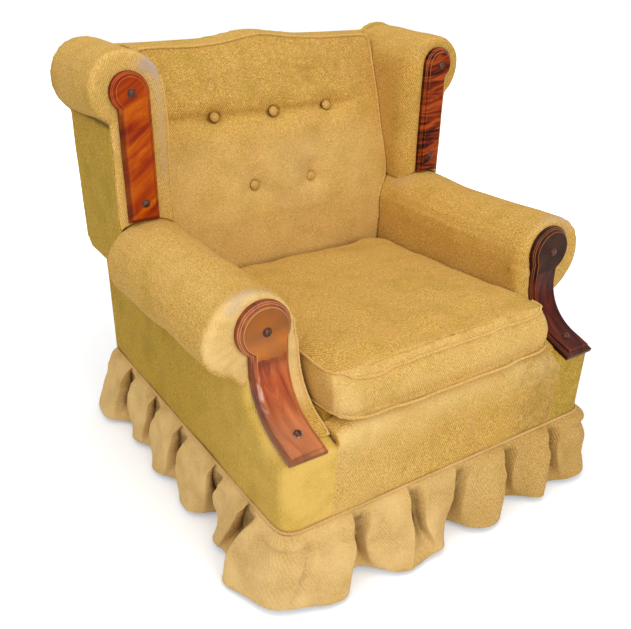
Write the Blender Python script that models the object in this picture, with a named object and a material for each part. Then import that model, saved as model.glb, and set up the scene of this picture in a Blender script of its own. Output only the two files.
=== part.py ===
"""Upholstered wing club chair with rolled arms, show-wood facings and a sagging loose cushion.

Metres, +Z up. The origin is on the floor at the middle of the chair's footprint.
The chair faces -Y. Left and right are the viewer's, so right is +X.
"""

import math

import bmesh
import bpy
from mathutils import Vector

# Clearance between pieces that touch
GAP = 0.0003

# Overall sizes
SEAT_HALF_WIDTH = 0.283
ARM_BOX_WIDTH = 0.120
BASE_DEPTH = 0.840
FRAME_BOTTOM_Z = 0.100
SKIRT_TOP_Z = 0.162
SKIRT_HEM_Z = 0.012
BORDER_TOP_Z = 0.358
DECK_REAR_Z = 0.325
ARM_TOP_Z = 0.585
WING_TOP_Z = 0.925
BACK_TOP_DROP = 0.022

# Arm roll and its padding
ROLL_HALF_WIDTH = 0.097
ROLL_HALF_HEIGHT = 0.093
ROLL_END_RADIUS = 0.016
INSIDE_ARM_PAD = 0.030
INSIDE_ARM_FOOT_RISE = 0.005
PANEL = 0.006
FRONT_PAD = 0.009
FRONT_CORNER_RADIUS = 0.035

# Arm board, and the front post with the curve that its facing follows
ARM_BOARD_THICKNESS = 0.0244
POST_INNER_SET = 0.034
POST_OUTER_SET = 0.015
POST_TOP_DROP = 0.047
POST_DEPTH = 0.185
POST_FOOT_DEPTH = 0.100
# Where the post's rear edge leans back, as shares of the height from the side rail to the arm board
POST_HEEL = 0.40
POST_SHOULDER = 0.845
CURVE_SETBACK = 0.121
CURVE_DROP = 0.129
CURVE_RADIUS = 0.110
CURVE_TURN = math.radians(72.0)
TOE_LENGTH = 0.053

# Show-wood facings
FACING_THICKNESS = 0.018
ARM_DISC_INSET = 0.018
ARM_DISC_DROP = 0.068
ARM_DISC_RADIUS = 0.055
ARM_STRIP_WIDTH = 0.067
WING_DEPTH = 0.252
WING_DISC_INSET = 0.0055
WING_DISC_DROP = 0.079
WING_DISC_RADIUS = 0.0405
WING_STRIP_WIDTH = 0.0625
WING_STRIP_FOOT_RISE = 0.005
# Stepped edge as pairs of inset from the outline and depth below the face
EDGE_STEPS = (
    (0.0, FACING_THICKNESS), (0.0, 0.009), (0.003, 0.006),
    (0.006, 0.006), (0.008, 0.0015), (0.011, 0.0),
)

# Facing screws
SCREW_HEAD_RADIUS = 0.0078
SCREW_WASHER_RADIUS = 0.0095
SCREW_SHANK_RADIUS = 0.0025
SCREW_SHANK_LENGTH = 0.048
ARM_LOWER_SCREW_S = 0.205
# How far a flat washer stands off the hollow of the curve
WASHER_LIFT = 0.0006
WING_LOWER_SCREW_RISE = 0.040

# Wings
WING_INNER_SET = 0.034
WING_OUTER_SET = 0.0385
WING_ROLL_HALF_HEIGHT = 0.082
WING_PANEL = 0.0092
WING_LIP_RISE = 0.0388
WING_POST_DEPTH = 0.047
WING_RAIL_HEIGHT = 0.060
WING_RAIL_DROP = 0.057
WING_INSIDE_PAD = 0.035

# Frame boards
RAIL = 0.025
SIDE_RAIL_HEIGHT = 0.100
RAIL_SHOULDER_DROP = 0.035
BACK_POST_DEPTH = 0.050
BACK_POST_DROP = 0.018
CREST_HEIGHT = 0.085
STAY_HEIGHT = 0.080
STAY_RISE = 0.025
OUTSIDE_BACK = 0.015
LEG_TOP = 0.046
LEG_FOOT = 0.034
CORNER_BLOCK = 0.055
CORNER_BLOCK_RISE = 0.040
CORNER_BLOCK_HEIGHT = 0.050

# Inside back. Each button has its X and its drop below the back's top.
BACK_FOOT_DEPTH = 0.211
RECLINE_START_Z = 0.42
# How far the side seam leans back at the top
RECLINE_SET = 0.13228
RECLINE_POWER = 1.45
BACK_BULGE = 0.018
BACK_HUMP = 0.017
BACK_HUMP_SPREAD = 0.085
BACK_REAR_RISE = 0.004
WEBBING = 0.0023
STRAP_WIDTH = 0.050
UPRIGHT_STRAPS = (-0.24, -0.12, 0.0, 0.12, 0.24)
# Share of the height from the stay rail to the crest rail
CROSS_STRAPS = (0.21, 0.46, 0.71)
BUTTON_RADIUS = 0.011
BUTTON_HEIGHT = 0.007
BUTTON_SINK = 0.003
BUTTON_PULL = 0.016
BUTTON_SPREAD = 0.032
BUTTON_DROPS = {
    "upper_left": (-0.154, 0.151),
    "upper_middle": (0.0, 0.151),
    "upper_right": (0.154, 0.151),
    "lower_left": (-0.080, 0.308),
    "lower_right": (0.080, 0.308),
}

# Seat deck, springs and loose cushion
DECK_THICKNESS = 0.027
SEAT_SAG = 0.018
SAG_CENTRE_X = -0.05
SPRING_COUNT = 4
SPRING_SPACING = 0.140
WIRE_RADIUS = 0.002
SPRING_HALF_WIDTH = 0.022
SPRING_PITCH = 0.034
CLIP = (0.030, 0.003, 0.024)
CUSHION_SIDE_GAP = 0.0065
CUSHION_SETBACK = 0.020
CUSHION_REAR_GAP = 0.013
CUSHION_OVERHANG = 0.026
CUSHION_CORNER = 0.045
# Seam heights above the border and above the deck's rear
CUSHION_FRONT_HEIGHT = 0.086
CUSHION_REAR_HEIGHT = 0.093
CUSHION_CROWN = 0.012
CUSHION_REST = 0.0012

# Pleated skirt. The pleats are fractions of the half width or half depth, from -X or from the front.
SKIRT_CLOTH = 0.004
SKIRT_STAND_OFF = 0.0008
SKIRT_LOBE = 0.048
SKIRT_VALLEY = 0.010
FRONT_PLEATS = (-0.61, -0.05, 0.40, 0.715)
SIDE_PLEATS = (-0.61, -0.346, 0.006, 0.369, 0.687)

# Positions that follow from the sizes above
FRONT_Y = -BASE_DEPTH / 2
REAR_Y = BASE_DEPTH / 2
BACK_TOP_Z = WING_TOP_Z - BACK_TOP_DROP
SIDE_RAIL_TOP_Z = FRAME_BOTTOM_Z + SIDE_RAIL_HEIGHT
INSIDE_ARM_FOOT_Z = SIDE_RAIL_TOP_Z + INSIDE_ARM_FOOT_RISE
ARM_OUTER_X = SEAT_HALF_WIDTH + ARM_BOX_WIDTH
ROLL_X = SEAT_HALF_WIDTH + ROLL_HALF_WIDTH
ROLL_Z = ARM_TOP_Z - ROLL_HALF_HEIGHT
ARM_BOARD_TOP_Z = ROLL_Z - 0.976 * ROLL_HALF_HEIGHT
POST_INNER_X = SEAT_HALF_WIDTH + POST_INNER_SET
POST_OUTER_X = ARM_OUTER_X - POST_OUTER_SET
POST_TOP_Z = ARM_TOP_Z - POST_TOP_DROP
POST_REAR_Y = FRONT_Y + POST_DEPTH
POST_HEEL_Z = SIDE_RAIL_TOP_Z + POST_HEEL * (ARM_BOARD_TOP_Z - SIDE_RAIL_TOP_Z)
POST_SHOULDER_Z = SIDE_RAIL_TOP_Z + POST_SHOULDER * (ARM_BOARD_TOP_Z - SIDE_RAIL_TOP_Z)
CURVE_FRONT_Y = FRONT_Y + CURVE_SETBACK
CURVE_START_Z = ARM_TOP_Z - CURVE_DROP
CURVE_CENTRE_Y = CURVE_FRONT_Y - CURVE_RADIUS
ARM_DISC_X = ROLL_X - ARM_DISC_INSET
ARM_DISC_Z = ARM_TOP_Z - ARM_DISC_DROP
ARM_STRIP = (POST_INNER_X, POST_INNER_X + ARM_STRIP_WIDTH)
WING_INNER_X = SEAT_HALF_WIDTH + WING_INNER_SET
WING_OUTER_X = ARM_OUTER_X + WING_OUTER_SET
WING_DISC_X = ARM_OUTER_X - WING_DISC_INSET
WING_DISC_Z = WING_TOP_Z - WING_DISC_DROP
WING_STRIP = (WING_DISC_X - WING_DISC_RADIUS, WING_DISC_X - WING_DISC_RADIUS + WING_STRIP_WIDTH)
WING_STRIP_FOOT_Z = ARM_TOP_Z + WING_STRIP_FOOT_RISE
WING_LOWER_SCREW_Z = ARM_TOP_Z + WING_LOWER_SCREW_RISE
WING_FACE_Y = REAR_Y - WING_DEPTH
WING_ROLL_HALF_WIDTH = WING_DISC_X - WING_INNER_X
WING_ROLL_Z = WING_TOP_Z - WING_ROLL_HALF_HEIGHT
WING_UNDERSIDE_Z = WING_ROLL_Z - WING_ROLL_HALF_HEIGHT * math.sqrt(
    1 - ((WING_OUTER_X - WING_DISC_X) / WING_ROLL_HALF_WIDTH) ** 2
)
WING_LIP_Z = ARM_BOARD_TOP_Z + WING_LIP_RISE
WING_RAIL_TOP_Z = WING_TOP_Z - WING_RAIL_DROP
WING_POST_X = WING_INNER_X + WING_INSIDE_PAD
WING_POST_WIDTH = ARM_OUTER_X - PANEL - GAP - WING_POST_X
WING_RAIL_WIDTH = WING_OUTER_X - WING_PANEL - GAP - WING_POST_X
WING_BACK_Y = WING_FACE_Y + 0.010
OUTSIDE_BACK_Y = REAR_Y - OUTSIDE_BACK
BACK_FRAME_Y = OUTSIDE_BACK_Y - 0.003 - BACK_POST_DEPTH
BACK_POST_X = WING_POST_X + GAP
BACK_POST_WIDTH = ARM_OUTER_X - PANEL - GAP - BACK_POST_X
BACK_POST_TOP_Z = BACK_TOP_Z - BACK_POST_DROP
BACK_FOOT_Y = REAR_Y - BACK_FOOT_DEPTH
PAD_REAR_Y = BACK_FRAME_Y - GAP - WEBBING - GAP
STAY_TOP_Z = DECK_REAR_Z + STAY_RISE
STAY_BOTTOM_Z = STAY_TOP_Z - STAY_HEIGHT
DECK_REAR_Y = BACK_FRAME_Y - CLIP[1] - 3 * GAP
RAIL_TOP_Z = BORDER_TOP_Z - 0.023
RAIL_SHOULDER_Z = RAIL_TOP_Z - RAIL_SHOULDER_DROP
FRONT_RAIL_Y = FRONT_Y + 0.0183
NOSE_REAR_Y = FRONT_Y + 0.060
CUSHION_FRONT_Y = FRONT_Y + CUSHION_SETBACK
CUSHION_REAR_Y = BACK_FOOT_Y - CUSHION_REAR_GAP
CUSHION_SEAM_FRONT_Z = BORDER_TOP_Z + CUSHION_FRONT_HEIGHT
CUSHION_SEAM_REAR_Z = DECK_REAR_Z + CUSHION_REAR_HEIGHT
BUTTONS = {name: (x, BACK_TOP_Z - drop) for name, (x, drop) in BUTTON_DROPS.items()}

# Colour, roughness and metallic value of each kind of material
TWEED = ((0.50, 0.34, 0.09, 1.0), 0.95, 0.0)
WORN_TWEED = ((0.53, 0.37, 0.14, 1.0), 0.95, 0.0)
VARNISHED_WOOD = ((0.25, 0.05, 0.015, 1.0), 0.30, 0.0)
BARE_WOOD = ((0.55, 0.38, 0.20, 1.0), 0.80, 0.0)
SPRING_STEEL = ((0.30, 0.30, 0.31, 1.0), 0.40, 1.0)
DARK_STEEL = ((0.06, 0.03, 0.02, 1.0), 0.35, 1.0)
JUTE = ((0.45, 0.34, 0.20, 1.0), 0.95, 0.0)
BLACK_CLOTH = ((0.03, 0.03, 0.03, 1.0), 0.95, 0.0)


def clear_scene():
    """Removes what the file already holds."""
    for old in list(bpy.data.objects):
        bpy.data.objects.remove(old, do_unlink=True)


def make_material(name, look):
    """A Principled material from a colour, a roughness and a metallic value."""
    colour, roughness, metallic = look
    material = bpy.data.materials.new(name)
    material.use_nodes = True
    shader = material.node_tree.nodes["Principled BSDF"]
    shader.inputs["Base Color"].default_value = colour
    shader.inputs["Roughness"].default_value = roughness
    shader.inputs["Metallic"].default_value = metallic
    return material


def add_solid(name, points, faces, look=None, smooth=None):
    """Links a closed mesh. Without a look it is a guide that only cuts or joins."""
    mesh = bpy.data.meshes.new(name)
    mesh.from_pydata([tuple(point) for point in points], [], faces)
    shape = bmesh.new()
    shape.from_mesh(mesh)
    bmesh.ops.recalc_face_normals(shape, faces=shape.faces)
    shape.to_mesh(mesh)
    shape.free()
    solid = bpy.data.objects.new(name, mesh)
    bpy.context.scene.collection.objects.link(solid)
    solid.parent = CHAIR
    if look is None:
        solid.hide_render = True
        solid.display_type = "WIRE"
    else:
        mesh.materials.append(make_material(name + "_finish", look))
    if smooth is not None:
        mesh.shade_smooth()
        mesh.set_sharp_from_angle(angle=math.radians(smooth))
    return solid


def loft(name, rings, look=None, smooth=None):
    """Skins a stack of rings with equal counts and caps both ends."""
    count = len(rings[0])
    points = [point for ring in rings for point in ring]
    faces = []
    for row in range(len(rings) - 1):
        for i in range(count):
            a = row * count + i
            b = row * count + (i + 1) % count
            faces.append((a, b, b + count, a + count))
    faces.append(tuple(range(count)))
    faces.append(tuple(range(len(points) - count, len(points))))
    return add_solid(name, points, faces, look, smooth)


def prism(name, outline, axis, start, stop, look=None):
    """Extrudes an outline along X, Y or Z. The outline holds the other two coordinates."""
    place = {
        "X": lambda u, v, w: (w, u, v),
        "Y": lambda u, v, w: (u, w, v),
        "Z": lambda u, v, w: (u, v, w),
    }[axis]
    return loft(name, [[place(u, v, w) for u, v in outline] for w in (start, stop)], look)


def box(name, x_range, y_range, z_range, look=None):
    """A rectangular block between two corners."""
    (x0, x1), (z0, z1) = x_range, z_range
    outline = [(x0, z0), (x1, z0), (x1, z1), (x0, z1)]
    return prism(name, outline, "Y", y_range[0], y_range[1], look)


def lathe(name, profile, segments, look=None, smooth=None):
    """Turns pairs of radius and height about the local Z axis."""
    rings = []
    for radius, height in profile:
        turns = [2 * math.pi * k / segments for k in range(segments)]
        rings.append([(radius * math.cos(t), radius * math.sin(t), height) for t in turns])
    return loft(name, rings, look, smooth)


def tube(name, path, radius, sides, look=None):
    """Sweeps a regular polygon along a path, carrying its frame from point to point."""
    normal = Vector((0.0, 0.0, 1.0))
    rings = []
    for i, point in enumerate(path):
        before = path[max(i - 1, 0)]
        after = path[min(i + 1, len(path) - 1)]
        tangent = (after - before).normalized()
        normal = (normal - tangent * normal.dot(tangent)).normalized()
        across = tangent.cross(normal)
        turns = [2 * math.pi * k / sides for k in range(sides)]
        rings.append([point + (normal * math.cos(t) + across * math.sin(t)) * radius for t in turns])
    return loft(name, rings, look)


def mirrored(points, side):
    """Points made for +X, on the given side of the chair."""
    return [(side * x, y, z) for x, y, z in points]


def combine(solid, tool, operation):
    """Adds an exact Boolean with a guide solid."""
    modifier = solid.modifiers.new(operation.lower() + "_" + tool.name, "BOOLEAN")
    modifier.operation = operation
    modifier.solver = "EXACT"
    modifier.object = tool


def side_span(side, inner, outer):
    """The X range of a piece made for +X, on the given side."""
    return (min(side * inner, side * outer), max(side * inner, side * outer))


def arc(centre, radii, start, stop, steps):
    """Points of an ellipse arc in a plane, angles in radians."""
    angles = [start + (stop - start) * k / steps for k in range(steps + 1)]
    return [(centre[0] + radii[0] * math.cos(a), centre[1] + radii[1] * math.sin(a)) for a in angles]


def arm_roll_section(inset, steps=16):
    """The roll in X and Z, from its inner foot over the top to its underside."""
    width = ROLL_HALF_WIDTH - inset
    height = ROLL_HALF_HEIGHT - inset
    dip = math.asin(min(0.976, (ROLL_Z - ARM_BOARD_TOP_Z - GAP) / height))
    section = arc((ROLL_X, ROLL_Z), (width, height), math.pi, -dip, steps)
    return [(section[0][0], section[-1][1])] + section


def wing_section(inset, steps=14):
    """The wing in X and Z: inner face, roll and outer face down to below the arm top."""
    width = WING_ROLL_HALF_WIDTH - inset
    height = WING_ROLL_HALF_HEIGHT - inset
    tuck = -math.acos((WING_OUTER_X - inset - WING_DISC_X) / width)
    section = arc((WING_DISC_X, WING_ROLL_Z), (width, height), math.pi, tuck, steps)
    foot_z = ARM_TOP_Z - 0.085
    return [(section[0][0], foot_z)] + section + [(section[-1][0], foot_z)]


def rounded_end(start, radius, steps=3):
    """Pairs of Y and inset that round the end of a sweep that begins at start."""
    angles = [math.pi / 2 * k / steps for k in range(steps + 1)]
    return [(start + radius * (1 - math.cos(a)), radius * (1 - math.sin(a))) for a in angles]


def sweep_y(name, section, stations, side, look=None, smooth=None):
    """Skins a section function along Y through pairs of Y and inset."""
    rings = [mirrored([(x, y, z) for x, z in section(inset)], side) for y, inset in stations]
    return loft(name, rings, look, smooth)


def curve_point(s, depth):
    """Y and Z on the arm's front curve, s down from the disc centre and depth behind the face."""
    straight = ARM_DISC_Z - CURVE_START_Z
    if s <= straight:
        return CURVE_FRONT_Y + depth, ARM_DISC_Z - s
    angle = min((s - straight) / CURVE_RADIUS, CURVE_TURN)
    along = s - straight - angle * CURVE_RADIUS
    radius = CURVE_RADIUS + depth
    y = CURVE_CENTRE_Y + radius * math.cos(angle) - along * math.sin(angle)
    z = CURVE_START_Z - radius * math.sin(angle) - along * math.cos(angle)
    return y, z


def curve_turn(s):
    """How far the front curve has turned from vertical at s."""
    return min(max(0.0, (s - ARM_DISC_Z + CURVE_START_Z) / CURVE_RADIUS), CURVE_TURN)


def front_outline(inset, top_z, rear_y, steps=10):
    """Side outline in Y and Z of what stands behind an arm facing, inset into the arm."""
    depth = FACING_THICKNESS + GAP + inset
    straight = ARM_DISC_Z - CURVE_START_Z
    radius = CURVE_RADIUS + depth
    start = math.asin(min(1.0, max(0.0, (CURVE_START_Z - top_z) / radius)))
    outline = [(CURVE_CENTRE_Y + radius, top_z)] if top_z > CURVE_START_Z else []
    for step in range(steps + 1):
        angle = start + (CURVE_TURN - start) * step / steps
        outline.append(curve_point(straight + angle * CURVE_RADIUS, depth))
    toe_y, toe_z = outline[-1]
    face_y = FRONT_Y + inset
    outline.append((face_y, toe_z - (toe_y - face_y) / math.tan(CURVE_TURN)))
    outline.append((face_y, FRAME_BOTTOM_Z))
    foot_y = FRONT_Y + POST_FOOT_DEPTH
    outline += [(foot_y, FRAME_BOTTOM_Z), (foot_y, POST_HEEL_Z), (rear_y, POST_SHOULDER_Z), (rear_y, top_z)]
    return outline


def facing_outline(inset, disc, strip, foot, arc_steps=7, strip_steps=12):
    """Outer and inner edge of a facing as X and s pairs, from the disc's crown to the foot."""
    disc_x, disc_radius = disc
    radius = disc_radius - inset
    edges = []
    for direction, edge_x in ((1, strip[1] - inset), (-1, strip[0] + inset)):
        reach = min(1.0, abs(edge_x - disc_x) / radius)
        corner = math.pi - math.asin(reach)
        edge = []
        for step in range(1, arc_steps + 1):
            angle = corner * step / arc_steps
            edge.append((disc_x + direction * radius * math.sin(angle), -radius * math.cos(angle)))
        corner_s = edge[-1][1]
        for step in range(1, strip_steps + 1):
            edge.append((edge_x, corner_s + (foot - inset - corner_s) * step / strip_steps))
        edges.append(edge)
    return (disc_x, -radius), edges[0], edges[1]


def add_facing(name, side, disc, strip, foot, place, strip_steps):
    """A show-wood facing: disc above a strip, with a stepped edge, bent along its curve."""
    points = []
    faces = []
    loops = []
    for inset, depth in EDGE_STEPS:
        crown, outer, inner = facing_outline(inset, disc, strip, foot, strip_steps=strip_steps)
        loop = [crown] + outer + inner[::-1]
        loops.append(len(points))
        points += [(side * x,) + place(s, depth) for x, s in loop]
    count = 1 + 2 * len(outer)
    for low, high in zip(loops, loops[1:]):
        for i in range(count):
            j = (i + 1) % count
            faces.append((low + i, low + j, high + j, high + i))
    for base in (loops[0], loops[-1]):
        faces.append((base, base + 1, base + count - 1))
        for i in range(1, len(outer)):
            faces.append((base + i, base + i + 1, base + count - i - 1, base + count - i))
    return add_solid(name, points, faces, VARNISHED_WOOD, smooth=25)


def add_screw(name, location, tilt, pierced):
    """A domed facing screw with its washer, and its hole through what it fastens."""
    washer = 0.0012
    profile = [
        (SCREW_SHANK_RADIUS, -SCREW_SHANK_LENGTH),
        (SCREW_SHANK_RADIUS, GAP),
        (SCREW_WASHER_RADIUS, GAP),
        (SCREW_WASHER_RADIUS, washer),
        (SCREW_HEAD_RADIUS, washer),
        (SCREW_HEAD_RADIUS * 0.85, washer + 0.0025),
        (SCREW_HEAD_RADIUS * 0.45, washer + 0.0042),
    ]
    hole = [(SCREW_SHANK_RADIUS + GAP, -SCREW_SHANK_LENGTH - 0.001), (SCREW_SHANK_RADIUS + GAP, 0.012)]
    screw = lathe(name, profile, 10, DARK_STEEL, smooth=40)
    bore = lathe(name + "_bore", hole, 10)
    for piece in (screw, bore):
        piece.location = location
        piece.rotation_euler = (tilt, 0.0, 0.0)
    for piece in pierced:
        combine(piece, bore, "DIFFERENCE")


def recline(z):
    """Y of the inside back's side seam at a height."""
    share = max(0.0, z - RECLINE_START_Z) / (BACK_TOP_Z - RECLINE_START_Z)
    return BACK_FOOT_Y + RECLINE_SET * share ** RECLINE_POWER


def crest(x):
    """Height of the serpentine top seam across the back."""
    return BACK_TOP_Z + BACK_HUMP * math.exp(-((x / BACK_HUMP_SPREAD) ** 2))


def back_half_width(z):
    """The inside back fills the seat, then widens over the arm roll to the wings."""
    lift = min(1.0, max(0.0, (z - ROLL_Z) / ROLL_HALF_HEIGHT))
    over_roll = ROLL_X - ROLL_HALF_WIDTH * math.sqrt(1 - lift ** 2)
    return min(over_roll, WING_INNER_X) - 2 * GAP


def back_face_y(x, z):
    """Front of the inside back, plump between its seams and pulled in at the buttons."""
    across = max(0.0, 1 - (x / WING_INNER_X) ** 2)
    rise = min(1.0, max(0.0, (z - CUSHION_SEAM_FRONT_Z) / 0.10))
    fall = min(1.0, max(0.0, (crest(x) - z) / 0.06))
    y = recline(z) - BACK_BULGE * across * rise * fall
    for button_x, button_z in BUTTONS.values():
        distance = math.hypot(x - button_x, z - button_z)
        y += BUTTON_PULL * math.exp(-((distance / BUTTON_SPREAD) ** 2))
    return y


def deck_z(x, y):
    """Top of the seat deck: it falls to the rear and sags where people sat."""
    run = min(1.0, max(0.0, (y - NOSE_REAR_Y) / (BACK_FOOT_Y - NOSE_REAR_Y)))
    across = max(0.0, 1 - ((x - SAG_CENTRE_X) / SEAT_HALF_WIDTH) ** 2)
    return BORDER_TOP_Z + (DECK_REAR_Z - BORDER_TOP_Z) * run - SEAT_SAG * across * math.sin(math.pi * run)


def slab(name, xs, ys, top, bottom, look=None, smooth=None):
    """A closed solid between two height functions over a grid."""
    rings = []
    for y in ys:
        upper = [(x, y, top(x, y)) for x in xs]
        lower = [(x, y, bottom(x, y)) for x in reversed(xs)]
        rings.append(upper + lower)
    return loft(name, rings, look, smooth)


def spread(start, stop, count):
    """Evenly spaced values with both ends."""
    return [start + (stop - start) * k / count for k in range(count + 1)]


def build_base_frame():
    """Rails, corner blocks and legs."""
    front_x = POST_INNER_X - GAP
    seat_x = SEAT_HALF_WIDTH - GAP
    half = [
        (front_x, FRAME_BOTTOM_Z), (front_x, RAIL_SHOULDER_Z),
        (seat_x, RAIL_SHOULDER_Z), (seat_x, RAIL_TOP_Z),
    ]
    outline = half + [(-x, z) for x, z in reversed(half)]
    prism("front_rail", outline, "Y", FRONT_RAIL_Y, FRONT_RAIL_Y + RAIL, BARE_WOOD)
    back_x = BACK_POST_X - GAP
    back_y = (BACK_FRAME_Y, BACK_FRAME_Y + RAIL)
    box("back_rail", (-back_x, back_x), back_y, (FRAME_BOTTOM_Z, SIDE_RAIL_TOP_Z), BARE_WOOD)
    box("back_stay_rail", (-back_x, back_x), back_y, (STAY_BOTTOM_Z, STAY_TOP_Z), BARE_WOOD)
    crest_z = (BACK_POST_TOP_Z - CREST_HEIGHT, BACK_POST_TOP_Z)
    crest_y = (BACK_FRAME_Y, BACK_FRAME_Y + BACK_POST_DEPTH)
    box("crest_rail", (-back_x, back_x), crest_y, crest_z, BARE_WOOD)
    side_outer_x = POST_OUTER_X - 0.003
    side_inner_x = side_outer_x - RAIL
    side_y = (FRONT_Y + POST_FOOT_DEPTH + GAP, BACK_FRAME_Y - GAP)
    for label, side in SIDES:
        span = side_span(side, side_inner_x, side_outer_x)
        box("side_rail_" + label, span, side_y, (FRAME_BOTTOM_Z, SIDE_RAIL_TOP_Z), BARE_WOOD)
        add_corner_blocks(label, side, side_inner_x)
        add_legs(label, side)


def add_corner_blocks(label, side, side_inner_x):
    """Glue blocks in the two corners on one side."""
    front = (POST_INNER_X - GAP, FRONT_RAIL_Y + RAIL + GAP, 1)
    rear = (side_inner_x - GAP, BACK_FRAME_Y - GAP, -1)
    for place, (x, y, inward) in (("front", front), ("rear", rear)):
        corner = [(x, y), (x - CORNER_BLOCK, y), (x, y + inward * CORNER_BLOCK)]
        outline = [(side * u, v) for u, v in corner]
        foot_z = FRAME_BOTTOM_Z + CORNER_BLOCK_RISE
        name = "corner_block_%s_%s" % (place, label)
        prism(name, outline, "Z", foot_z, foot_z + CORNER_BLOCK_HEIGHT, BARE_WOOD)


def add_legs(label, side):
    """Short tapered legs under the front and back posts."""
    front = ((POST_INNER_X + POST_OUTER_X) / 2, FRONT_Y + POST_FOOT_DEPTH / 2)
    rear = (BACK_POST_X + BACK_POST_WIDTH / 2, BACK_FRAME_Y + BACK_POST_DEPTH / 2)
    for place, (x, y) in (("front", front), ("rear", rear)):
        rings = []
        for half, z in ((LEG_FOOT / 2, 0.0), (LEG_TOP / 2, FRAME_BOTTOM_Z - GAP)):
            rings.append([(-half, -half, z), (half, -half, z), (half, half, z), (-half, half, z)])
        leg = loft("leg_%s_%s" % (place, label), rings, BARE_WOOD)
        leg.location = (side * x, y, 0.0)


def build_arm(label, side):
    """Post, board, padding and panels of one arm, with its facing."""
    outline = front_outline(FRONT_PAD + GAP, POST_TOP_Z, POST_REAR_Y)
    post_x = side_span(side, POST_INNER_X, POST_OUTER_X)
    post = prism("front_post_" + label, outline, "X", post_x[0], post_x[1], BARE_WOOD)
    grown = front_outline(FRONT_PAD, POST_TOP_Z + GAP, POST_REAR_Y)
    grown_x = side_span(side, POST_INNER_X - GAP, POST_OUTER_X + GAP)
    post_guide = prism("post_guide_" + label, grown, "X", grown_x[0], grown_x[1])

    board_x = side_span(side, SEAT_HALF_WIDTH + INSIDE_ARM_PAD + GAP, ARM_OUTER_X - PANEL - 2 * GAP)
    board_z = (ARM_BOARD_TOP_Z - ARM_BOARD_THICKNESS, ARM_BOARD_TOP_Z)
    box("arm_board_" + label, board_x, (POST_REAR_Y + GAP, BACK_FRAME_Y - GAP), board_z, BARE_WOOD)

    pad = add_arm_pad(label, side, post_guide)
    outside = add_outside_arm(label, side, post_guide)

    foot = ARM_DISC_Z - CURVE_START_Z + CURVE_RADIUS * CURVE_TURN + TOE_LENGTH
    disc = (ARM_DISC_X, ARM_DISC_RADIUS)
    facing = add_facing("arm_facing_" + label, side, disc, ARM_STRIP, foot, curve_point, 12)
    upper_y, upper_z = curve_point(0.0, 0.0)
    upper = (side * ARM_DISC_X, upper_y, upper_z)
    add_screw("arm_screw_upper_" + label, upper, math.pi / 2, (facing, pad, post))
    lower_y, lower_z = curve_point(ARM_LOWER_SCREW_S, -WASHER_LIFT)
    lower = (side * sum(ARM_STRIP) / 2, lower_y, lower_z)
    tilt = math.pi / 2 - curve_turn(ARM_LOWER_SCREW_S)
    add_screw("arm_screw_lower_" + label, lower, tilt, (facing, outside, post))


def add_arm_pad(label, side, post_guide):
    """The stuffed roll on the arm board, with the inside arm hanging from it."""
    front_y = CURVE_FRONT_Y + FACING_THICKNESS + GAP
    stations = rounded_end(front_y, ROLL_END_RADIUS) + [(PAD_REAR_Y, 0.0)]
    pad = sweep_y("arm_pad_" + label, arm_roll_section, stations, side, TWEED, smooth=40)
    inner = side_span(side, SEAT_HALF_WIDTH + 0.0005, SEAT_HALF_WIDTH + INSIDE_ARM_PAD)
    panel_y = (POST_REAR_Y + GAP, PAD_REAR_Y - 0.001)
    panel = box("inside_arm_guide_" + label, inner, panel_y, (INSIDE_ARM_FOOT_Z, ROLL_Z))
    combine(pad, panel, "UNION")
    combine(pad, post_guide, "DIFFERENCE")
    wing_room = side_span(side, WING_POST_X - GAP, ROLL_X + ROLL_HALF_WIDTH + 0.1)
    room_z = (ARM_BOARD_TOP_Z - 0.05, ARM_TOP_Z + 0.1)
    room = box("wing_room_" + label, wing_room, (WING_BACK_Y - GAP, REAR_Y), room_z)
    combine(pad, room, "DIFFERENCE")
    return pad


def add_outside_arm(label, side, post_guide):
    """The outside panel of an arm, wrapped round the front post."""
    top_z = ARM_BOARD_TOP_Z - GAP
    rings = []
    inner_round = 0.012
    stations = [(SEAT_HALF_WIDTH + y, inset) for y, inset in rounded_end(0.0, inner_round)]
    outer = [(ARM_OUTER_X - y, inset) for y, inset in rounded_end(0.0, FRONT_CORNER_RADIUS, 5)]
    for x, inset in stations + outer[::-1]:
        rings.append([(side * x, y, z) for y, z in front_outline(inset, top_z, POST_REAR_Y)])
    shell = loft("outside_arm_" + label, rings, TWEED, smooth=40)
    combine(shell, post_guide, "DIFFERENCE")
    bay_x = side_span(side, SEAT_HALF_WIDTH - 0.05, POST_INNER_X + 0.0005)
    bay_y = (FRONT_RAIL_Y - GAP, POST_REAR_Y + 0.05)
    bay = box("rail_bay_" + label, bay_x, bay_y, (0.0, RAIL_SHOULDER_Z + GAP))
    combine(shell, bay, "DIFFERENCE")
    panel_rear_y = OUTSIDE_BACK_Y - GAP
    wing_y = WING_BACK_Y
    outline = [
        (FRONT_Y + 0.05, FRAME_BOTTOM_Z + 0.0002), (panel_rear_y, FRAME_BOTTOM_Z + 0.0002),
        (panel_rear_y, WING_LIP_Z - 0.004), (wing_y, WING_LIP_Z - 0.004),
        (wing_y, top_z - 0.0002), (FRONT_Y + 0.20, top_z - 0.0002), (FRONT_Y + 0.05, POST_HEEL_Z),
    ]
    panel_x = side_span(side, ARM_OUTER_X - PANEL, ARM_OUTER_X - 0.0004)
    panel = prism("outside_panel_guide_" + label, outline, "X", panel_x[0], panel_x[1])
    combine(shell, panel, "UNION")
    return shell


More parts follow.
